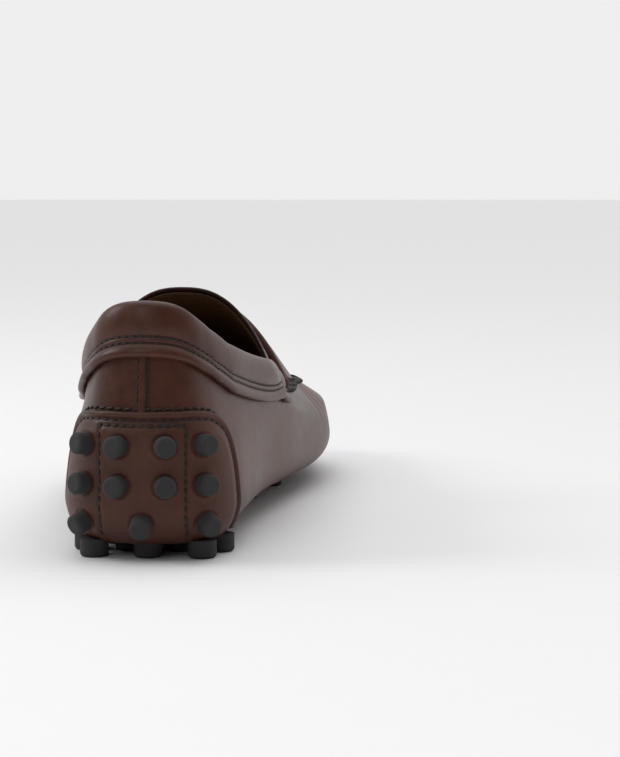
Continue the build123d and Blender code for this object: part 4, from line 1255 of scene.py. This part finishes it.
def finish_frame():
    """Gives the nodes that stay in view or inside their materials."""
    for node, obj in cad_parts.items():
        if "stud" in node:
            finish_of(obj, rubber())
        elif "thread" in node:
            finish_of(obj, thread_material())
        elif "pad" in node:
            finish_of(obj, pad_leather())
        elif "foam" in node or "core" in node:
            finish_of(obj, foam())
        elif "lining" in node or "sock" in node:
            finish_of(obj, lining_leather())
        elif node == "heel_counter":
            finish_of(obj, plain("counter_board", (0.16, 0.11, 0.07), (0.22, 0.16, 0.10), 0.85))
        else:
            finish_of(obj, upper_leather())


# ---- add-on --------------------------------------------------------------------------------------
class MoccasinSizes(bpy.types.PropertyGroup):
    """Sizes of the sewing and of the leather's relief."""

    fine_pitch: bpy.props.FloatProperty(
        name="Fine Pitch", description="Distance between stitches on the collar band",
        default=0.00275, unit="LENGTH")
    fine_length: bpy.props.FloatProperty(
        name="Fine Length", description="Length of a stitch on the collar band",
        default=0.00195, unit="LENGTH")
    fine_radius: bpy.props.FloatProperty(
        name="Fine Radius", description="Radius of the thread on the collar band",
        default=0.00036, unit="LENGTH")
    heavy_pitch: bpy.props.FloatProperty(
        name="Heavy Pitch", description="Distance between stitches on the heel pad",
        default=0.0034, unit="LENGTH")
    heavy_length: bpy.props.FloatProperty(
        name="Heavy Length", description="Length of a stitch on the heel pad",
        default=0.0022, unit="LENGTH")
    heavy_radius: bpy.props.FloatProperty(
        name="Heavy Radius", description="Radius of the thread on the heel pad",
        default=0.00046, unit="LENGTH")
    seam_ridge: bpy.props.FloatProperty(
        name="Seam Ridge", description="How far the apron seam stands up",
        default=0.00125, unit="LENGTH")
    pleat_depth: bpy.props.FloatProperty(
        name="Pleat Depth", description="Depth of the gathers round the toe",
        default=0.00042, unit="LENGTH")


class MoccasinColours(bpy.types.PropertyGroup):
    """Dyes and shades, each a dark and a light that the uneven dye moves between."""

    upper_dark: bpy.props.FloatVectorProperty(
        name="Upper Dark", description="Darker dye of the upper",
        default=(0.040, 0.0118, 0.0064), subtype="COLOR")
    upper_light: bpy.props.FloatVectorProperty(
        name="Upper Light", description="Lighter dye of the upper",
        default=(0.082, 0.0240, 0.0130), subtype="COLOR")
    pad_dark: bpy.props.FloatVectorProperty(
        name="Pad Dark", description="Darker dye of the pads",
        default=(0.042, 0.0135, 0.0080), subtype="COLOR")
    pad_light: bpy.props.FloatVectorProperty(
        name="Pad Light", description="Lighter dye of the pads",
        default=(0.078, 0.0255, 0.0150), subtype="COLOR")
    lining_dark: bpy.props.FloatVectorProperty(
        name="Lining Dark", description="Darker tan of the lining",
        default=(0.085, 0.040, 0.013), subtype="COLOR")
    lining_light: bpy.props.FloatVectorProperty(
        name="Lining Light", description="Lighter tan of the lining",
        default=(0.135, 0.065, 0.022), subtype="COLOR")
    thread_dark: bpy.props.FloatVectorProperty(
        name="Thread Dark", description="Darker shade of the thread",
        default=(0.004, 0.003, 0.0025), subtype="COLOR")
    thread_light: bpy.props.FloatVectorProperty(
        name="Thread Light", description="Lighter shade of the thread",
        default=(0.011, 0.007, 0.006), subtype="COLOR")
    rubber_dark: bpy.props.FloatVectorProperty(
        name="Rubber Dark", description="Darker shade of the studs",
        default=(0.017, 0.0175, 0.018), subtype="COLOR")
    rubber_light: bpy.props.FloatVectorProperty(
        name="Rubber Light", description="Lighter shade of the studs",
        default=(0.028, 0.0285, 0.029), subtype="COLOR")
    floor_tone: bpy.props.FloatProperty(
        name="Floor", description="Lightness of the floor", default=0.82, min=0.0, max=1.0, subtype="FACTOR")


def sizes():
    return bpy.context.scene.moccasin_sizes


def colours():
    return bpy.context.scene.moccasin_colours


class MOCCASIN_OT_wrap(bpy.types.Operator):
    """Build the leather wrap that passes under the foot"""

    bl_idname = "moccasin.wrap"
    bl_label = "Leather Wrap"

    def execute(self, context):
        make_wrap()
        return {"FINISHED"}


class MOCCASIN_OT_apron(bpy.types.Operator):
    """Build the apron with its tongue"""

    bl_idname = "moccasin.apron"
    bl_label = "Apron and Tongue"

    def execute(self, context):
        make_apron()
        return {"FINISHED"}


class MOCCASIN_OT_lining(bpy.types.Operator):
    """Build the quarter, vamp and tongue linings"""

    bl_idname = "moccasin.lining"
    bl_label = "Lining"

    def execute(self, context):
        make_lining()
        return {"FINISHED"}


class MOCCASIN_OT_collar(bpy.types.Operator):
    """Build the padded collar band and its two thread rows"""

    bl_idname = "moccasin.collar"
    bl_label = "Collar Band"

    def execute(self, context):
        make_collar()
        return {"FINISHED"}


class MOCCASIN_OT_heel_pad(bpy.types.Operator):
    """Build the heel pad, its piping and its thread"""

    bl_idname = "moccasin.heel_pad"
    bl_label = "Heel Pad"

    def execute(self, context):
        make_heel_pad()
        return {"FINISHED"}


class MOCCASIN_OT_back_strip(bpy.types.Operator):
    """Build the strip over the back seam and its thread"""

    bl_idname = "moccasin.back_strip"
    bl_label = "Back Strip"

    def execute(self, context):
        make_back_strip()
        return {"FINISHED"}


class MOCCASIN_OT_strap(bpy.types.Operator):
    """Build the saddle strap and its thread"""

    bl_idname = "moccasin.strap"
    bl_label = "Saddle Strap"

    def execute(self, context):
        make_strap()
        return {"FINISHED"}


class MOCCASIN_OT_rolls(bpy.types.Operator):
    """Build the rolled strap ends and their whipping"""

    bl_idname = "moccasin.rolls"
    bl_label = "Strap Rolls"

    def execute(self, context):
        make_rolls()
        return {"FINISHED"}


class MOCCASIN_OT_seam_thread(bpy.types.Operator):
    """Sew the apron seam and the edge of the tongue"""

    bl_idname = "moccasin.seam_thread"
    bl_label = "Seam Thread"

    def execute(self, context):
        make_seam_threads()
        return {"FINISHED"}


class MOCCASIN_OT_sock(bpy.types.Operator):
    """Build the leather sock"""

    bl_idname = "moccasin.sock"
    bl_label = "Sock"

    def execute(self, context):
        make_sock()
        return {"FINISHED"}


class MOCCASIN_OT_fore_pad(bpy.types.Operator):
    """Build the pad under the ball of the foot and its thread"""

    bl_idname = "moccasin.fore_pad"
    bl_label = "Ball Pad"

    def execute(self, context):
        make_fore_pad()
        return {"FINISHED"}


class MOCCASIN_OT_frame_finish(bpy.types.Operator):
    """Give the studs and the hidden pieces their materials"""

    bl_idname = "moccasin.frame_finish"
    bl_label = "Frame Finishes"

    def execute(self, context):
        finish_frame()
        return {"FINISHED"}


class MOCCASIN_OT_stage(bpy.types.Operator):
    """Build the floor, the light and the camera"""

    bl_idname = "moccasin.stage"
    bl_label = "Stage"

    def execute(self, context):
        make_stage()
        return {"FINISHED"}


class MOCCASIN_PT_build(bpy.types.Panel):
    """Lists the pieces in the order in which they are built."""

    bl_idname = "MOCCASIN_PT_build"
    bl_label = "Driving Moccasin"
    bl_space_type = "VIEW_3D"
    bl_region_type = "UI"
    bl_category = "Moccasin"

    def draw(self, context):
        for group in (context.scene.moccasin_sizes, context.scene.moccasin_colours):
            column = self.layout.column(align=True)
            for name in group.__annotations__:
                column.prop(group, name)
        for piece in PIECES:
            self.layout.operator(piece.bl_idname)


PIECES = (
    MOCCASIN_OT_wrap,
    MOCCASIN_OT_apron,
    MOCCASIN_OT_lining,
    MOCCASIN_OT_collar,
    MOCCASIN_OT_heel_pad,
    MOCCASIN_OT_back_strip,
    MOCCASIN_OT_strap,
    MOCCASIN_OT_rolls,
    MOCCASIN_OT_seam_thread,
    MOCCASIN_OT_sock,
    MOCCASIN_OT_fore_pad,
    MOCCASIN_OT_frame_finish,
    MOCCASIN_OT_stage,
)
CLASSES = (MoccasinSizes, MoccasinColours, *PIECES, MOCCASIN_PT_build)


def register():
    for each in CLASSES:
        bpy.utils.register_class(each)
    bpy.types.Scene.moccasin_sizes = bpy.props.PointerProperty(type=MoccasinSizes)
    bpy.types.Scene.moccasin_colours = bpy.props.PointerProperty(type=MoccasinColours)


def unregister():
    del bpy.types.Scene.moccasin_colours
    del bpy.types.Scene.moccasin_sizes
    for each in reversed(CLASSES):
        bpy.utils.unregister_class(each)


def main():
    register()
    bpy.ops.moccasin.wrap()
    bpy.ops.moccasin.apron()
    bpy.ops.moccasin.lining()
    bpy.ops.moccasin.collar()
    bpy.ops.moccasin.heel_pad()
    bpy.ops.moccasin.back_strip()
    bpy.ops.moccasin.strap()
    bpy.ops.moccasin.rolls()
    bpy.ops.moccasin.seam_thread()
    bpy.ops.moccasin.sock()
    bpy.ops.moccasin.fore_pad()
    bpy.ops.moccasin.frame_finish()
    bpy.ops.moccasin.stage()


if __name__ == "__main__":
    main()
